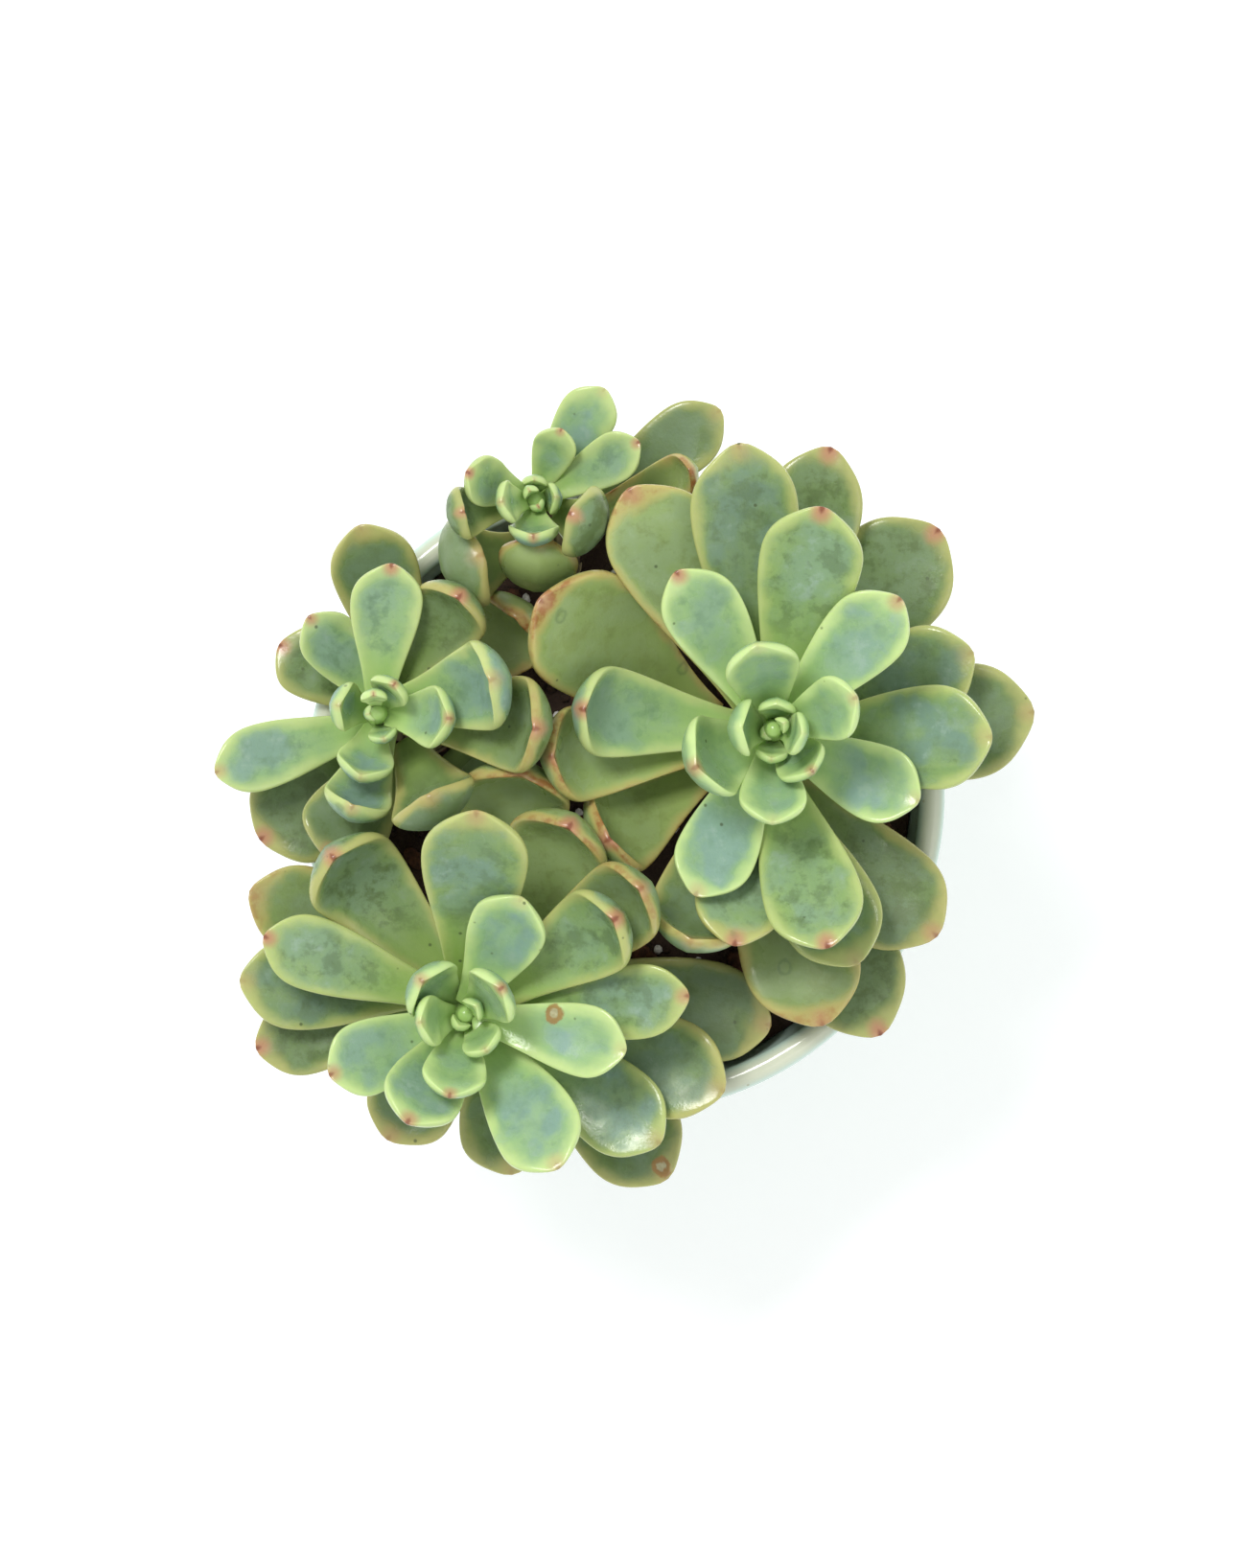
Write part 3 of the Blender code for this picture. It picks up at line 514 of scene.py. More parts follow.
def corky_bark():
    """Young cork over a fleshy stem: brown-grey and matt, cracked into short plates, with pale leaf scars."""
    finish, tree, place = new_finish("corky_stem_bark")
    tall = add_node(tree, "Mapping", {"Vector": place, "Scale": (1.0, 1.0, 0.35)}).outputs[0]
    fibre = add_node(tree, "TexNoise", {"Vector": tall, "Scale": pattern_scale(1.43),
                                        "Detail": 6.0}).outputs[0]
    plates = add_node(tree, "TexVoronoi", {"Vector": place, "Scale": pattern_scale(3.03)},
                      feature="DISTANCE_TO_EDGE").outputs["Distance"]
    crack = add_node(tree, "MapRange", {"Value": plates, "From Max": 0.12}).outputs[0]
    scar = add_node(tree, "Attribute", attribute_name="scar").outputs["Fac"]
    cork = add_node(tree, "Mix", {FACTOR: fibre, FIRST: colour("#5B4A33"), SECOND: colour("#A39270")},
                    data_type="RGBA").outputs[MIXED]
    base = colour("#3A2C1D")
    for share, tint in ((crack, cork), (scar, colour("#B9A67F"))):
        base = add_node(tree, "Mix", {FACTOR: share, FIRST: base, SECOND: tint},
                        data_type="RGBA").outputs[MIXED]
    bump = add_node(tree, "Bump", {"Height": crack, "Strength": 0.6, "Distance": 0.4 * MM}).outputs[0]
    shade(tree, {"Base Color": base, "Normal": bump, "Roughness": 0.8})
    return finish


def stem_skin(rosette, top):
    """A leaning tube. Leaf scars sit on it along a golden-angle spiral, each a low swelling round its middle
    in the shape of a bell curve."""
    foot = stem_foot_height(rosette)
    heights = np.concatenate([[foot - STEM_DEPTH], np.linspace(foot - 1 * MM, top, STEM_RINGS)])
    corners = turns(STEM_SIDES)
    middles = np.array([stem_middle(rosette, height) for height in heights])
    scar = np.zeros((len(heights), STEM_SIDES))
    for number in range(int((top - foot) / SCAR_STEP)):
        along = (heights - foot - number * SCAR_STEP)[:, None] / SCAR_HALF_HEIGHT
        round_it = (corners - number * SCAR_TURN + math.pi) % (2 * math.pi) - math.pi
        scar = np.maximum(scar, np.exp(-along**2 - (round_it[None] / SCAR_HALF_TURN) ** 2))
    radii = stem_radius(rosette, heights)[:, None] + SCAR_SWELLING * scar
    rings = rings_round(radii, heights, STEM_SIDES, middles)
    skin = closed_skin(rings, rings[0].mean(axis=0), rings[-1].mean(axis=0))
    return *skin, {"scar": np.concatenate([[0], scar.ravel(), [0]])}


bark = corky_bark()
for name, rosette in ROSETTES.items():
    points, faces, values = stem_skin(rosette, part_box(name + "_stem")[1].z)
    add_piece(name + "_woody_stem", points, faces, bark, "stem_bark", [name + "_stem"], values)

# ---------------------------------------------------------------------------------------------------------
# Leaves. Thick water-storing blades, blue-green under a waxy bloom, with lime-yellow translucent margins and
# a small pointed tip. The oldest turn olive with tan rims. They grow in order of age: each one reaches its
# spot and sits at the lowest height where it clears all that is below it.
# ---------------------------------------------------------------------------------------------------------

HEART_CORE_RADIUS = 2.6 * MM
HEART_NECK = 4 * MM  # how far the core reaches down below the lowest young leaf
LEAF_GAP = 0.35 * MM  # round a leaf that settles on others
LEAF_STEM_GAP = 0.9 * MM
FIRST_LEAF_UP = 3 * MM  # from the mix to the root of the lowest leaf
SETTLE_STEP = 0.4 * MM
NEIGHBOUR_ANGLE = 35.0  # leaves closer than this have to stand one above the other
LEAF_ROOT_WIDTH = 0.40  # as a share of the full width
LEAF_ROOT_THICKNESS = 0.45  # as a share of the full thickness
LEAF_WIDEST_AT = 0.76  # both as a share of the way from root to tip
LEAF_THICKEST_AT = 0.60
LEAF_END_POWER = 2.3  # 2 would round the end as an ellipse, more is blunter
LEAF_EDGE_POWER = 4  # the same for its thickness
SECTION_POWER = 0.72  # 1 would be an oval section, less is squarer
LEAF_THIN = 1.1 * MM  # how thick the narrowest leaf is
LEAF_FLESH = 0.18  # how much thicker it is for each millimetre of width
STEEPEST = 85.0  # slope of a root in degrees
SLOPE_HALVINGS = 12
FREE_FROM = 0.30  # from this share of the way on, young leaves keep clear of each other
YOUNG_ROOT_SHARE = 0.4  # how far out in the heart's core a young leaf starts
MIDRIB_STEPS = np.linspace(0, 1, 41)
END_ROUND = 0.35  # how far the end bulges past the midrib, as a share of the thickness

# How a leaf is made: length as a multiple of width, least slope at its root, upturn from root to tip,
# power of the way along with which it turns up, hollow of its face as a share of its width
HABITS = {
    "low": (1.5, 1.0, 12.0, 2.0, 0.07),
    "spread": (2.2, 7.0, 20.0, 2.0, 0.09),
    "hooked": (2.1, 4.0, 102.0, 2.8, 0.17),
    "cupped": (1.7, 5.0, 56.0, 2.0, 0.20),
    "heart": (1.9, 10.0, 24.0, 2.0, 0.14),
    "bud": (1.8, 10.0, 14.0, 2.0, 0.24),
}
LEAF_STATIONS = np.array([0.0, 0.2, 0.4, 0.58, 0.74, 0.88, 0.97, 1.0])
LEAF_SIDES = 8
YOUNG_STATIONS = np.array([0.0, 0.3, 0.55, 0.78, 0.93, 1.0])
YOUNG_SIDES = 6


def leaf_width(share):
    """Outline: narrow at the root, widest three quarters along, then a blunt end."""
    rise = np.clip(share / LEAF_WIDEST_AT, 0, 1)
    body = LEAF_ROOT_WIDTH + (1 - LEAF_ROOT_WIDTH) * rise * rise * (3 - 2 * rise)
    past = np.clip((share - LEAF_WIDEST_AT) / (1 - LEAF_WIDEST_AT), 0, 1)
    return body * (1 - past**LEAF_END_POWER) ** 0.5


def leaf_thickness(share):
    """Thickness along the leaf: thin at the root, fleshy past the middle, rounded off at the end."""
    rise = np.clip(share / LEAF_THICKEST_AT, 0, 1)
    past = np.clip((share - LEAF_THICKEST_AT) / (1 - LEAF_THICKEST_AT), 0, 1)
    return (LEAF_ROOT_THICKNESS + (1 - LEAF_ROOT_THICKNESS) * rise) * (1 - past**LEAF_EDGE_POWER) ** 0.5


def section(around):
    """Across and height of a fleshy section with blunt margins: a squared oval of half width and half height
    1. They are the cosine and the sine of the angle around it, each to a power and with its sign."""
    side, face = np.cos(around), np.sin(around)
    return np.sign(side) * np.abs(side) ** SECTION_POWER, np.sign(face) * np.abs(face) ** SECTION_POWER


def midrib(slope, upturn, power):
    """Run and climb of a midrib of unit length: its slope grows with a power of the way along it."""
    angle = np.radians(slope + upturn * MIDRIB_STEPS**power)
    between = (angle[1:] + angle[:-1]) / 2
    step = MIDRIB_STEPS[1]
    run = np.concatenate([[0], np.cumsum(np.cos(between))]) * step
    climb = np.concatenate([[0], np.cumsum(np.sin(between))]) * step
    return run, climb


class Blade:
    """A leaf's own frame: across it, along its midrib, and out of its face."""

    def __init__(self, rosette, leaf, root_height, root_radius):
        """The slope at the root is the one at which the leaf ends at its reach. It is found by halving, and a
        leaf too short for its reach is lengthened."""
        direction, reach, width, habit, self.tan = leaf
        aspect, least_slope, self.upturn, self.power, self.hollow = HABITS[habit]
        self.width = width * MM
        self.thickness = LEAF_THIN + LEAF_FLESH * self.width
        self.root_height = root_height
        self.middle = stem_middle(rosette, root_height)
        direction = math.radians(direction)
        tip = np.array(rosette["heart"]) + reach * MM * np.array([math.cos(direction), math.sin(direction)])
        away = float(np.hypot(*(tip - self.middle)))
        self.outward = (tip - self.middle) / away
        self.root_radius = root_radius
        self.length = aspect * self.width
        self.slope = least_slope
        if self.reached() < away:
            self.length += (away - self.reached()) / midrib(self.slope, self.upturn, self.power)[0].max()
            return
        steep = STEEPEST
        for _ in range(SLOPE_HALVINGS):
            self.slope = (least_slope + steep) / 2
            if self.reached() > away:
                least_slope = self.slope
            else:
                steep = self.slope
        self.slope = least_slope

    def root(self):
        """How far from the stem's middle the midrib starts."""
        root_thickness = self.thickness * float(leaf_thickness(np.array(0.0)))
        return self.root_radius + 0.5 * root_thickness * math.sin(math.radians(self.slope))

    def reached(self):
        """How far from the stem's middle the leaf ends."""
        run = midrib(self.slope, self.upturn, self.power)[0].max()
        end = END_ROUND * self.thickness * math.sin(math.radians(self.slope + self.upturn))
        return self.root() + self.length * run + end

    def lay(self, share, across, height, beyond=0.0):
        """Points in space: a share along the midrib, then across it, out of its face, and beyond it the way
        it points there."""
        run, climb = midrib(self.slope, self.upturn, self.power)
        tilt = np.radians(self.slope + self.upturn * share**self.power)
        along = np.interp(share, MIDRIB_STEPS, run) * self.length + self.root()
        up = np.interp(share, MIDRIB_STEPS, climb) * self.length + self.root_height
        flat = along - height * np.sin(tilt) + beyond * np.cos(tilt)
        level = up + height * np.cos(tilt) + beyond * np.sin(tilt)
        x = self.middle[0] + flat * self.outward[0] - across * self.outward[1]
        y = self.middle[1] + flat * self.outward[1] + across * self.outward[0]
        return np.stack([x, y, level], axis=2)

    def plain(self, stations, sides, swell):
        """The leaf as a few flat ovals, for finding its place. Swell is added all round."""
        share = stations[:, None]
        side, face = section(turns(sides)[None])
        half = 0.5 * self.width * leaf_width(share) + swell
        deep = 0.5 * self.thickness * leaf_thickness(share) + swell
        height = deep * face + self.hollow * self.width * leaf_width(share) * side**2
        points = self.lay(share, half * side, height)
        return closed_skin(points[:-1], points[0].mean(axis=0), points[-1].mean(axis=0))


class Body:
    """A solid that later leaves have to clear."""

    def __init__(self, points, faces, heart=None):
        self.low = points.min(axis=0)
        self.high = points.max(axis=0)
        self.tree = BVHTree.FromPolygons(points.tolist(), faces)
        self.heart = heart

    def meets(self, other):
        """Whether the two skins cut each other."""
        apart = (self.low > other.high).any() or (self.high < other.low).any()
        return not apart and bool(self.tree.overlap(other.tree))


def leaf_root_radius(rosette, height, young):
    """Young leaves start inside the heart's core, older ones a gap clear of the stem."""
    if young:
        return HEART_CORE_RADIUS * YOUNG_ROOT_SHARE
    return stem_radius(rosette, height) + LEAF_STEM_GAP


def leaf_body(name, leaf, height, young, swell):
    """The leaf as an obstacle. The young leaves of one heart may touch near their roots, where they are
    joined, so a second obstacle has only the part from FREE_FROM on."""
    rosette = ROSETTES[name]
    blade = Blade(rosette, leaf, height, leaf_root_radius(rosette, height, young))
    stations = YOUNG_STATIONS if young else LEAF_STATIONS
    sides = YOUNG_SIDES if young else LEAF_SIDES
    body = Body(*blade.plain(stations, sides, swell), name if young else None)
    if young:
        body.free = Body(*blade.plain(stations[stations >= FREE_FROM], sides, swell / 2))
    return body


def settle(name, leaf, young, lowest, bodies, roots):
    """The least root height at which the leaf clears every body and stands above the older leaves beside
    it."""
    beside = [
        height for direction, height in roots
        if abs((direction - leaf[0] + 180) % 360 - 180) < NEIGHBOUR_ANGLE
    ]
    height = max([lowest] + [each + SETTLE_STEP for each in beside])
    while True:
        body = leaf_body(name, leaf, height, young, LEAF_GAP)
        clash = any(
            body.free.meets(other.free) if young and other.heart == name else body.meets(other)
            for other in bodies
        )
        if not clash:
            return height
        height += SETTLE_STEP


def grow(bodies):
    """Sets every leaf of every rosette, tier by tier, and gives each one with its root height."""
    grown = {name: {"leaves": [], "young": []} for name in ROSETTES}
    roots = {name: [] for name in ROSETTES}
    lowest = {name: stem_foot_height(rosette) + FIRST_LEAF_UP for name, rosette in ROSETTES.items()}
    for age in ("leaves", "young"):
        young = age == "young"
        for tier in range(max(len(rosette[age]) for rosette in ROSETTES.values())):
            for name, rosette in ROSETTES.items():
                leaves = rosette[age][tier] if tier < len(rosette[age]) else []
                tier_heights = []
                for leaf in leaves:
                    height = settle(name, leaf, young, lowest[name], bodies, roots[name])
                    roots[name].append((leaf[0], height))
                    tier_heights.append(height)
                    grown[name][age].append((leaf, height, tier))
                    bodies.append(leaf_body(name, leaf, height, young, 0.0))
                if leaves:
                    lowest[name] = max(lowest[name], sum(tier_heights) / len(leaves))
    return grown


def node_body(node):
    """A CAD node as an obstacle."""
    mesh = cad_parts[node].data
    points = np.empty(len(mesh.vertices) * 3, np.float32)
    mesh.vertices.foreach_get("co", points)
    return Body(points.reshape(-1, 3).astype(float), [list(face.vertices) for face in mesh.polygons])


# Fine stations crowd towards the tip, where the outline turns
FINE_STATIONS = 1 - (1 - np.linspace(0, 1, 46)) ** 1.5
FINE_SIDES = 40
FACE_FULLNESS = 0.85  # the face is flatter than an oval, and the underside fuller
UNDERSIDE_FULLNESS = 1.1
KEEL_DEPTH = 0.16  # a ridge under the midrib, and a groove over it, as shares of half the thickness
KEEL_HALF_WIDTH = 0.22
GROOVE_DEPTH = 0.10
GROOVE_HALF_WIDTH = 0.18
MARGIN_WAVE = 0.012  # how far the margins wave, as a share of the width
DIMPLE_DEPTH = 0.09  # shallow dents all over, as a share of half the thickness
SIDE_LEAN = 0.05  # how much fuller one side of the blade may be
SWING = 0.05  # how far the blade may swing to one side, as a share of its length
CUSP = 0.028  # how far the tip is drawn out, as a share of the leaf's length
CUSP_POWER = 14.0
FULL_WIDTH = 17 * MM  # from this width up, a leaf has its full-sized blush at the tip
RIM_BELOW = 1.6  # how much wider the margin counts straight below than on the face

# Healed wounds by rosette and leaf direction: share along, share of the half width across, radius of the ring
WOUNDS = {("front", 348): (0.52, 0.62, 1.7 * MM), ("front", 320): (0.965, 0.1, 1.6 * MM),
          ("back", 219): (0.93, -0.2, 2.4 * MM), ("main", 50): (0.62, -0.55, 0.9 * MM)}
WOUND_SWELLING = 0.3 * MM
WOUND_RING = 0.85  # where the swelling is highest, and half its width, as shares of the ring's radius
WOUND_RING_HALF_WIDTH = 0.25
UNHURT = 9.0  # a wound value that is far outside any ring
RIM_ROUND = 0.05  # millimetres that round the corner between the side and the tip
# What the skin's colours follow, in the order in which the skin takes them
LEAF_VALUES = ("along", "along_mm", "across_mm", "margin_mm", "tip_mm", "age", "tan", "seed", "wound")


def fine_leaf(blade, age, wound_at=None):
    """Points, faces and values of one finished leaf.

    Its section is an oval, flatter on the face than below, with margins that the hollow raises. The last part
    is drawn out to a point along the midrib, a keel runs under it, the margins wave a little, and the whole
    blade swings gently to one side. The values are what the skin's colours follow. The margin counts as wider
    below, so that the pale rim is narrower there."""
    share = FINE_STATIONS[:, None]
    side, face = section(turns(FINE_SIDES)[None])
    swing, wave, turn_of_wave, lean, seed = chance.random(5)
    half = 0.5 * blade.width * leaf_width(share)
    deep = 0.5 * blade.thickness * leaf_thickness(share)
    past = np.clip((share - LEAF_WIDEST_AT) / (1 - LEAF_WIDEST_AT), 0, 1)
    hump = np.where(face > 0, FACE_FULLNESS, UNDERSIDE_FULLNESS) * face
    keel = -KEEL_DEPTH * deep * np.exp(-((side / KEEL_HALF_WIDTH) ** 2)) * (face < 0) * share
    groove = -GROOVE_DEPTH * deep * np.exp(-((side / GROOVE_HALF_WIDTH) ** 2)) * (face > 0) * share
    waves = np.sin(2 * math.pi * (share * (1.2 + wave) + turn_of_wave))
    margin_wave = MARGIN_WAVE * blade.width * np.abs(side) ** 4 * waves
    dimples = np.sin(share * 11 + seed * 40 + side * 2) * np.sin(share * 5 - side * 3 + seed * 17)
    height = deep * hump + blade.hollow * blade.width * leaf_width(share) * side**2
    height = height + keel + groove * (1 - past) + margin_wave * (1 - past**2)
    height = height + DIMPLE_DEPTH * deep * dimples * (1 - past**4)
    wound = np.full((len(FINE_STATIONS), FINE_SIDES), UNHURT)
    if wound_at:
        at_share, at_side, ring_radius = wound_at
        from_wound = np.hypot((share - at_share) * blade.length, half * side - half * at_side)
        wound = np.where(face > 0, from_wound / ring_radius, UNHURT)
        height = height + WOUND_SWELLING * np.exp(-(((wound - WOUND_RING) / WOUND_RING_HALF_WIDTH) ** 2))
    across = half * side * (1 + SIDE_LEAN * (lean - 0.5) * np.sign(side) * np.sin(math.pi * share))
    across = across + (swing - 0.5) * SWING * blade.length * np.sin(math.pi * share) * share
    beyond = CUSP * blade.length * past**CUSP_POWER
    points = blade.lay(share, across, height, beyond)
    skin = closed_skin(points[1:-1], points[0].mean(axis=0), points[-1].mean(axis=0))

    to_side = half * (1 - np.abs(side)) / MM
    to_tip = (1 - share) * blade.length / MM
    margin = 1 / np.sqrt(1 / (to_side + RIM_ROUND) ** 2 + 1 / (to_tip + RIM_ROUND) ** 2)
    margin = margin * (1 + RIM_BELOW * np.clip(-face, 0, 1))
    tip = np.sqrt(to_tip**2 + (half * side / MM) ** 2) * FULL_WIDTH / min(blade.width, FULL_WIDTH)
    values = {}
    grids = (share, share * blade.length / MM, half * side / MM, margin, tip, age, blade.tan, seed, wound)
    for key, grid in zip(LEAF_VALUES, grids):
        grid = np.broadcast_to(grid, points.shape[:2])
        values[key] = np.concatenate([[grid[0].mean()], grid[1:-1].ravel(), [grid[-1].mean()]])
    return *skin, values


def smooth_product(tree, *parts):
    """The product of its parts. A part is a ready value, or a smooth step: a source, the two values of it
    between which the step runs, and what it starts and ends at, which is 0 and 1 where it isn't said."""
    values = []
    for part in parts:
        if isinstance(part, tuple):
            source, start, end, *span = part
            low, high = span or (0.0, 1.0)
            part = add_node(tree, "MapRange", {"Value": source, "From Min": start, "From Max": end,
                                               "To Min": low, "To Max": high},
                            interpolation_type="SMOOTHSTEP").outputs[0]
        values.append(part)
    product = values[0]
    for value in values[1:]:
        product = add_node(tree, "Math", {0: product, 1: value}, operation="MULTIPLY").outputs[0]
    return product


def leaf_skin(name, bloom, flesh, root, rim, smudged):
    """The skin of a glaucous leaf: chlorophyll-green flesh under a pale blue wax bloom, which is thickest in
    the middle of the face and rubbed off towards the root. The margins hold no chlorophyll and let light
    through. Age dulls the bloom, browns the rim and leaves smudges and specks. The wax has a satin light."""
    finish, tree, place = new_finish(name)
    # The age value carries the leaves' real age, painted shade that darkens whole rosettes, and painted light
    # that pales the inner hearts
    along, along_mm, across_mm, margin, tip, age, tan, seed, wound = (
        add_node(tree, "Attribute", attribute_name=key).outputs["Fac"] for key in LEAF_VALUES
    )
    # Clouds in the bloom 7 mm across, mottling of 2 mm, smudges of 5 mm, and pits under a millimetre
    cloud, mottle, smudge, pits = (
        add_node(tree, "TexNoise", {"Vector": place, "Scale": pattern_scale(width), "Detail": detail,
                                    "Roughness": roughness}).outputs[0]
        for width, detail, roughness in (
            (6.67, 3.0, 0.5), (2.38, 5.0, 0.62), (5.26, 6.0, 0.66), (0.625, 2.0, 0.5),
        )
    )
    # Fibres 2 mm apart across the leaf and ten times as long, in millimetres, and other ones in every leaf
    long_way = add_node(tree, "Math", {0: along_mm, 1: 0.09}, operation="MULTIPLY").outputs[0]
    shift = add_node(tree, "Math", {0: seed, 1: 60.0}, operation="MULTIPLY").outputs[0]
    strand = add_node(tree, "CombineXYZ", {"X": across_mm, "Y": long_way, "Z": shift}).outputs[0]
    fibre = add_node(tree, "TexNoise", {"Vector": strand, "Scale": 0.45, "Detail": 3.0}).outputs[0]
    # Drip marks and specks sit in the middle of cells, but only of those whose random colour is high
    marks, specks = (
        add_node(tree, "TexVoronoi", {"Vector": place, "Scale": pattern_scale(width)}).outputs
        for width in (10.53, 3.03)
    )
    marked, specked = (
        add_node(tree, "SeparateColor", {"Color": cells["Color"]}).outputs[0] for cells in (marks, specks)
    )
    # Limits that a noise moves in and out, each with how far from the noise's least value to its greatest
    edges = []
    for noise, reach, limit in ((cloud, 9.0, margin), (cloud, 4.0, margin), (mottle, 0.16, marks["Distance"]),
                                (smudge, 1.6, wound)):
        off = add_node(tree, "Math", {0: noise, 1: 0.5}, operation="SUBTRACT").outputs[0]
        moved = add_node(tree, "Math", {0: off, 1: reach, 2: limit}, operation="MULTIPLY_ADD").outputs[0]
        edges.append(moved)
    bloom_edge, rim_edge, mark_edge, wound_edge = edges
    near_tip = smooth_product(tree, (tip, 1.0, 10.0, -1.6, 0.0))
    rim_line = add_node(tree, "Math", {0: rim_edge, 1: near_tip}, operation="ADD").outputs[0]
    # Where the bloom lies and where it is worn, and how much a tip blushes, which is little on young leaves
    bloomed = smooth_product(tree, (bloom_edge, 0.5, 4.6), (along, 0.22, 0.66), (cloud, 0.36, 0.6, 0.45, 1.0),
                             (age, -0.3, 0.2, 0.15, 1.0))
    wear_and_shade = smooth_product(tree, (margin, 0.8, 3.5), (along, 0.2, 0.5), (age, -0.1, 0.8, 0.25, 1.0),
                          (seed, 0.1, 0.8, 0.45, 1.0))
    blushing = smooth_product(tree, (seed, 0.2, 0.85, 0.2, 0.9), (age, -0.3, 0.15, 0.2, 1.0))
    # Colours that vary between two tones
    varied, olive, yellowed, old_rim, straw, cork, dry = (
        add_node(tree, "Mix", {FACTOR: share, FIRST: colour(first), SECOND: colour(second)},
                 data_type="RGBA").outputs[MIXED]
        for share, first, second in (
            (cloud, "#82A25C", "#9DB870"), (cloud, "#4F6139", "#6C7D47"), (cloud, "#93A55C", "#B0C072"),
            (age, rim, "#A9AC6C"), (mottle, "#B08F50", "#C6B974"), (mottle, "#6F4A26", "#AF8348"),
            (pits, "#8D8A5E", "#C9C6A4"),
        )
    )
    layers = (
        # Flesh, paler and yellower at the root, with fibres in it
        (colour(flesh), (along, 0.12, 0.62)),
        (colour(rim), (fibre, 0.35, 0.75, 0.0, 0.22)),
        # Bloom over the middle of the face, in patches with a soft ragged limit
        (colour(bloom), bloomed),
        # No two leaves are quite the same green
        (varied, (seed, 0.3, 1.0, 0.0, 0.34)),
        # Smudges where the bloom is rubbed off, more on older leaves, and paler patches where it is thick
        (colour(smudged), (smudge, 0.49, 0.62, 0.0, 0.75), wear_and_shade),
        (colour(smudged), (mottle, 0.53, 0.67, 0.0, 0.6), wear_and_shade),
        (colour("#9DB3A4"), (smudge, 0.46, 0.32, 0.0, 0.5), bloomed),
        # Age turns the whole leaf olive, and strong sun turns it yellow
        (olive, (age, 0.1, 1.2, 0.0, 0.70)),
        (yellowed, (tan, 0.2, 1.0, 0.0, 0.62)),
        # Pale margin, its inner limit wandering by a millimetre
        (old_rim, (rim_edge, 0.0, 2.7, 1.0, 0.0), (along, 0.05, 0.5, 0.3, 1.0), 0.85),
        # Straw yellow margin and a thin brown line along the very edge of sun-stressed leaves
        (straw, (rim_line, 0.0, 2.2, 0.8, 0.0), tan),
        (colour("#93592F"), (rim_line, -0.7, 0.6, 1.0, 0.0), (tan, 0.25, 0.9),
         (mottle, 0.38, 0.62, 0.15, 0.9)),
        # Reddish tip with a dry brown point
        (colour("#B07E62"), (tip, 0.5, 3.0, 1.0, 0.0), blushing),
        (colour("#7C4632"), (tip, 0.2, 0.8, 1.0, 0.0), blushing),
        # Old drip marks: faint broken rings, 2 to 3 mm across
        (colour("#4F6443"), (mark_edge, 0.07, 0.115), (mark_edge, 0.12, 0.17, 1.0, 0.0),
         (marked, 0.80, 0.84), 0.34),
        # Healed wounds: a corky brown ring, uneven and broken, round a dry pale middle
        (cork, (wound_edge, 1.25, 0.95), 0.85),
        (dry, (wound_edge, 0.66, 0.45), 0.85),
        # Specks: dust and tiny bruises under a millimetre wide
        (colour("#4A5636"), (specks["Distance"], 0.07, 0.15, 1.0, 0.0), (specked, 0.90, 0.93), 0.75),
    )
    skin = colour(root)
    for tint, *parts in layers:
        share = smooth_product(tree, *parts)
        skin = add_node(tree, "Mix", {FACTOR: share, FIRST: skin, SECOND: tint},
                        data_type="RGBA").outputs[MIXED]

    pitting = add_node(tree, "Math", {0: pits, 1: 0.4}, operation="MULTIPLY").outputs[0]
    relief = add_node(tree, "Math", {0: mottle, 1: 0.6, 2: pitting}, operation="MULTIPLY_ADD").outputs[0]
    bump = add_node(tree, "Bump", {"Height": relief, "Strength": 0.16, "Distance": 0.5 * MM}).outputs[0]
    roughness = smooth_product(tree, (bloomed, 0.0, 1.0, 0.20, 0.44))
    shade(tree, {"Base Color": skin, "Roughness": roughness, "Normal": bump, "IOR": 1.42,
                 "Subsurface Weight": 0.25, "Subsurface Radius": (0.8, 1.0, 0.35),
                 "Subsurface Scale": 2.0 * MM})
    return finish


# Old skin and young skin: the bloom, the flesh, the root, the rim and the smudges
old_skin = leaf_skin("bloomed_leaf_skin", "#769380", "#819D60", "#93B25A", "#B6C77E", "#4A5F38")
young_skin = leaf_skin("young_leaf_skin", "#7F9E90", "#90B27A", "#9EC06E", "#C3D892", "#5F7E60")
TIER_AGES = (1.0, 0.6, 0.3)  # of the older leaves, then of the young ones, down to the tightest bud
# The young ages fall below zero towards the bud: young leaves are paler, and the inner tiers are paler still as
# painted light that offsets the shade deep in the heart
YOUNG_TIER_AGES_AND_PAINTED_LIGHT = (0.12, -0.05, -0.25, -0.3)

grown = grow([node_body("pot"), node_body("soil")])
for name, rosette in ROSETTES.items():
    for number, (leaf, height, tier) in enumerate(grown[name]["leaves"], 1):
        blade = Blade(rosette, leaf, height, leaf_root_radius(rosette, height, False))
        # The rosette's extra dullness is painted shade, added to the leaf's age
        age = TIER_AGES[tier] + rosette["wear_and_shade"]
        points, faces, values = fine_leaf(blade, age, WOUNDS.get((name, leaf[0])))
        node = f"{name}_leaf_{number:02d}"
        add_piece(f"{name}_blade_{number:02d}", points, faces, old_skin, "leaf_flesh", [node], values)

# ---------------------------------------------------------------------------------------------------------
# Hearts. The young leaves of a rosette all come out of one growing point, so they are one grown piece. They
# are brighter than the old leaves, and folded into a tight bud at the middle. Their inner tiers are made paler
# still, as painted light that offsets the shade deep in the heart.
# ---------------------------------------------------------------------------------------------------------

CORE_RINGS = 20
CORE_SIDES = 24
CORE_SWELL = 0.1  # how much wider its middle is than its foot
CORE_TAPER = 0.75


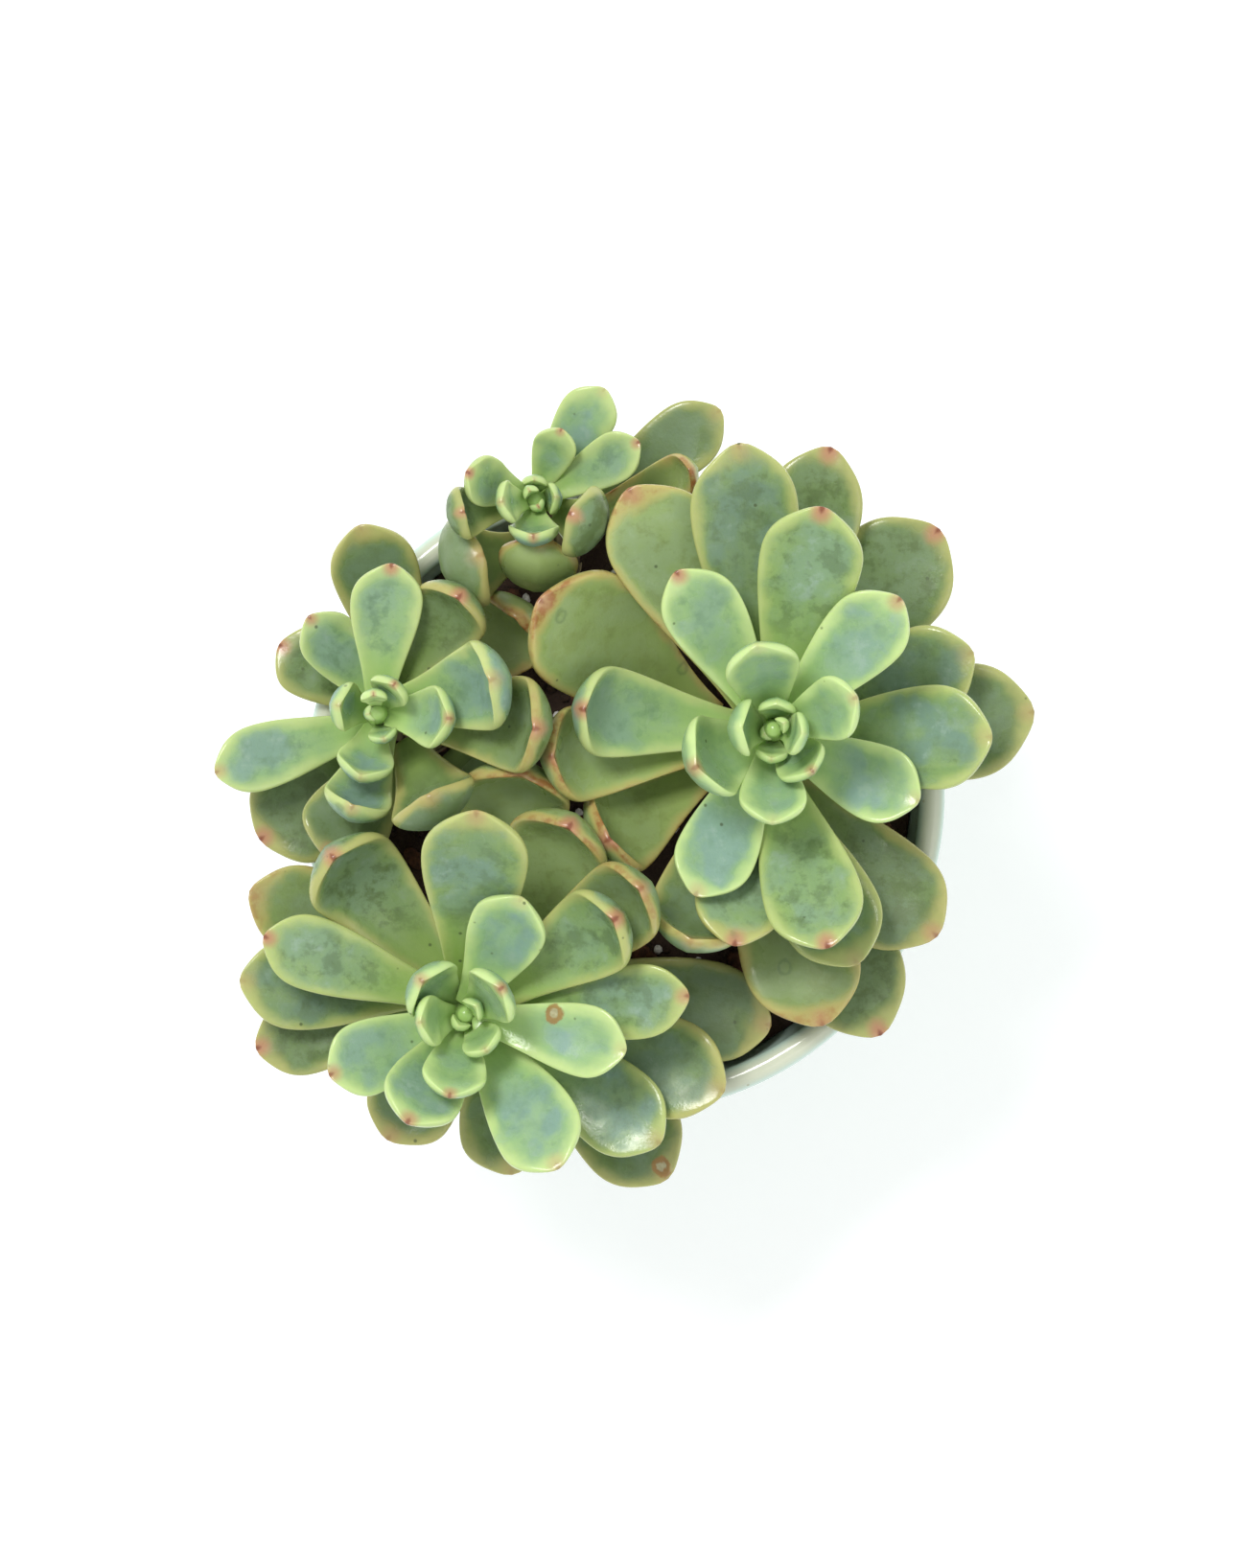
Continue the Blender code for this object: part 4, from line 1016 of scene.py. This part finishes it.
def core_skin(rosette, roots):
    """The growing point: a short tube under the lowest young leaf that narrows into a dome among the buds.
    Its radius swells a little half way up, and falls with the fourth power of the way to the top."""
    heights = np.linspace(min(roots) - HEART_NECK, max(roots) + 1 * MM, CORE_RINGS)
    share = np.linspace(0, 1, CORE_RINGS)
    radii = HEART_CORE_RADIUS * (1 - CORE_SWELL + CORE_SWELL * np.sin(math.pi * share))
    radii = radii * np.sqrt(1 - CORE_TAPER * share**4)
    middles = np.array([stem_middle(rosette, height) for height in heights])
    rings = rings_round(radii, heights, CORE_SIDES, middles)
    points, faces = closed_skin(rings, rings[0].mean(axis=0), rings[-1].mean(axis=0))
    root_flesh = zip(LEAF_VALUES, (0.1, 1.0, 0.0, 9.0, 9.0, YOUNG_TIER_AGES_AND_PAINTED_LIGHT[-1], 0.0, 0.5, UNHURT))
    return points, faces, {key: np.full(len(points), value) for key, value in root_flesh}


def joined(skins):
    """Several skins as one: their points, faces and values in a row."""
    points = np.concatenate([skin[0] for skin in skins])
    starts = np.cumsum([0] + [len(skin[0]) for skin in skins]).tolist()
    faces = [[corner + start for corner in face] for start, skin in zip(starts, skins) for face in skin[1]]
    values = {key: np.concatenate([skin[2][key] for skin in skins]) for key in LEAF_VALUES}
    return points, faces, values


for name, rosette in ROSETTES.items():
    skins = [core_skin(rosette, [height for leaf, height, tier in grown[name]["young"]])]
    for leaf, height, tier in grown[name]["young"]:
        blade = Blade(rosette, leaf, height, leaf_root_radius(rosette, height, True))
        # The inner tiers' low ages are partly painted light, and the rosette's extra dullness is painted shade
        age = YOUNG_TIER_AGES_AND_PAINTED_LIGHT[tier] + rosette["wear_and_shade"]
        skins.append(fine_leaf(blade, age, WOUNDS.get((name, leaf[0]))))
    points, faces, values = joined(skins)
    add_piece(name + "_rosette_heart", points, faces, young_skin, "leaf_young", [name + "_heart"], values)

# ---------------------------------------------------------------------------------------------------------
# Studio. A sheet of white paper for a floor, a soft light overhead from the upper left, a fill from the other
# side, and a camera that looks straight down on the plant.
# ---------------------------------------------------------------------------------------------------------

FLOOR_SIZE = 6.0  # half a side
paper, tree, place = new_finish("matt_white_paper")
tooth = add_node(tree, "TexNoise", {"Vector": place, "Scale": pattern_scale(1.11), "Detail": 2.0}).outputs[0]
white = add_node(tree, "Mix", {FACTOR: tooth, FIRST: colour("#F4F4F2"), SECOND: colour("#FAFAF9")},
                 data_type="RGBA").outputs[MIXED]
shade(tree, {"Base Color": white, "Roughness": 0.95, "Emission Color": colour("#FFFFFF"),
             "Emission Strength": 0.16})
floor_mesh = bpy.data.meshes.new("floor")
corners = [(FLOOR_SIZE * x, FLOOR_SIZE * y, 0) for x, y in ((-1, -1), (1, -1), (1, 1), (-1, 1))]
floor_mesh.from_pydata(corners, [], [(0, 1, 2, 3)])
floor_mesh.materials.append(paper)
floor = bpy.data.objects.new("floor", floor_mesh)
bpy.context.scene.collection.objects.link(floor)


def add_light(name, place, size, power):
    """A square soft box at a place, aimed at the tops of the leaves."""
    light = bpy.data.lights.new(name, "AREA")
    light.size = size
    light.energy = power
    obj = bpy.data.objects.new(name, light)
    obj.location = place
    x, y, z = np.array([0, 0, cad_high[2]]) - np.array(place)
    obj.rotation_euler = (math.atan2(np.hypot(x, y), -z), 0, math.atan2(y, x) - math.pi / 2)
    bpy.context.scene.collection.objects.link(obj)


add_light("key_softbox", (-0.45, 0.55, 1.5), 0.42, 16)
add_light("fill_softbox", (0.9, -0.5, 1.2), 1.0, 4)

world = bpy.data.worlds.new("soft_white_room")
world.use_nodes = True
room = world.node_tree.nodes["Background"].inputs
room["Color"].default_value = colour("#F6F8FA")
room["Strength"].default_value = 0.84
bpy.context.scene.world = world
bpy.context.scene.view_settings.view_transform = "Standard"

CAMERA_DISTANCE = 1.2  # above the level of most leaves
LEAF_LEVEL = 0.110
VIEW_HEIGHT = 0.2945  # how much of that level the view takes in from top to bottom
VIEW_MIDDLE = (0.63 * MM, 1.62 * MM)
VIEW_SHAPE = 1309 / 1636
SENSOR = 36.0
camera = bpy.data.cameras.new("camera")
camera.sensor_fit = "VERTICAL"
camera.sensor_height = SENSOR
camera.sensor_width = SENSOR * VIEW_SHAPE
camera.lens = SENSOR * CAMERA_DISTANCE / VIEW_HEIGHT
eye = bpy.data.objects.new("camera", camera)
eye.location = (*VIEW_MIDDLE, LEAF_LEVEL + CAMERA_DISTANCE)
bpy.context.scene.collection.objects.link(eye)
bpy.context.scene.camera = eye
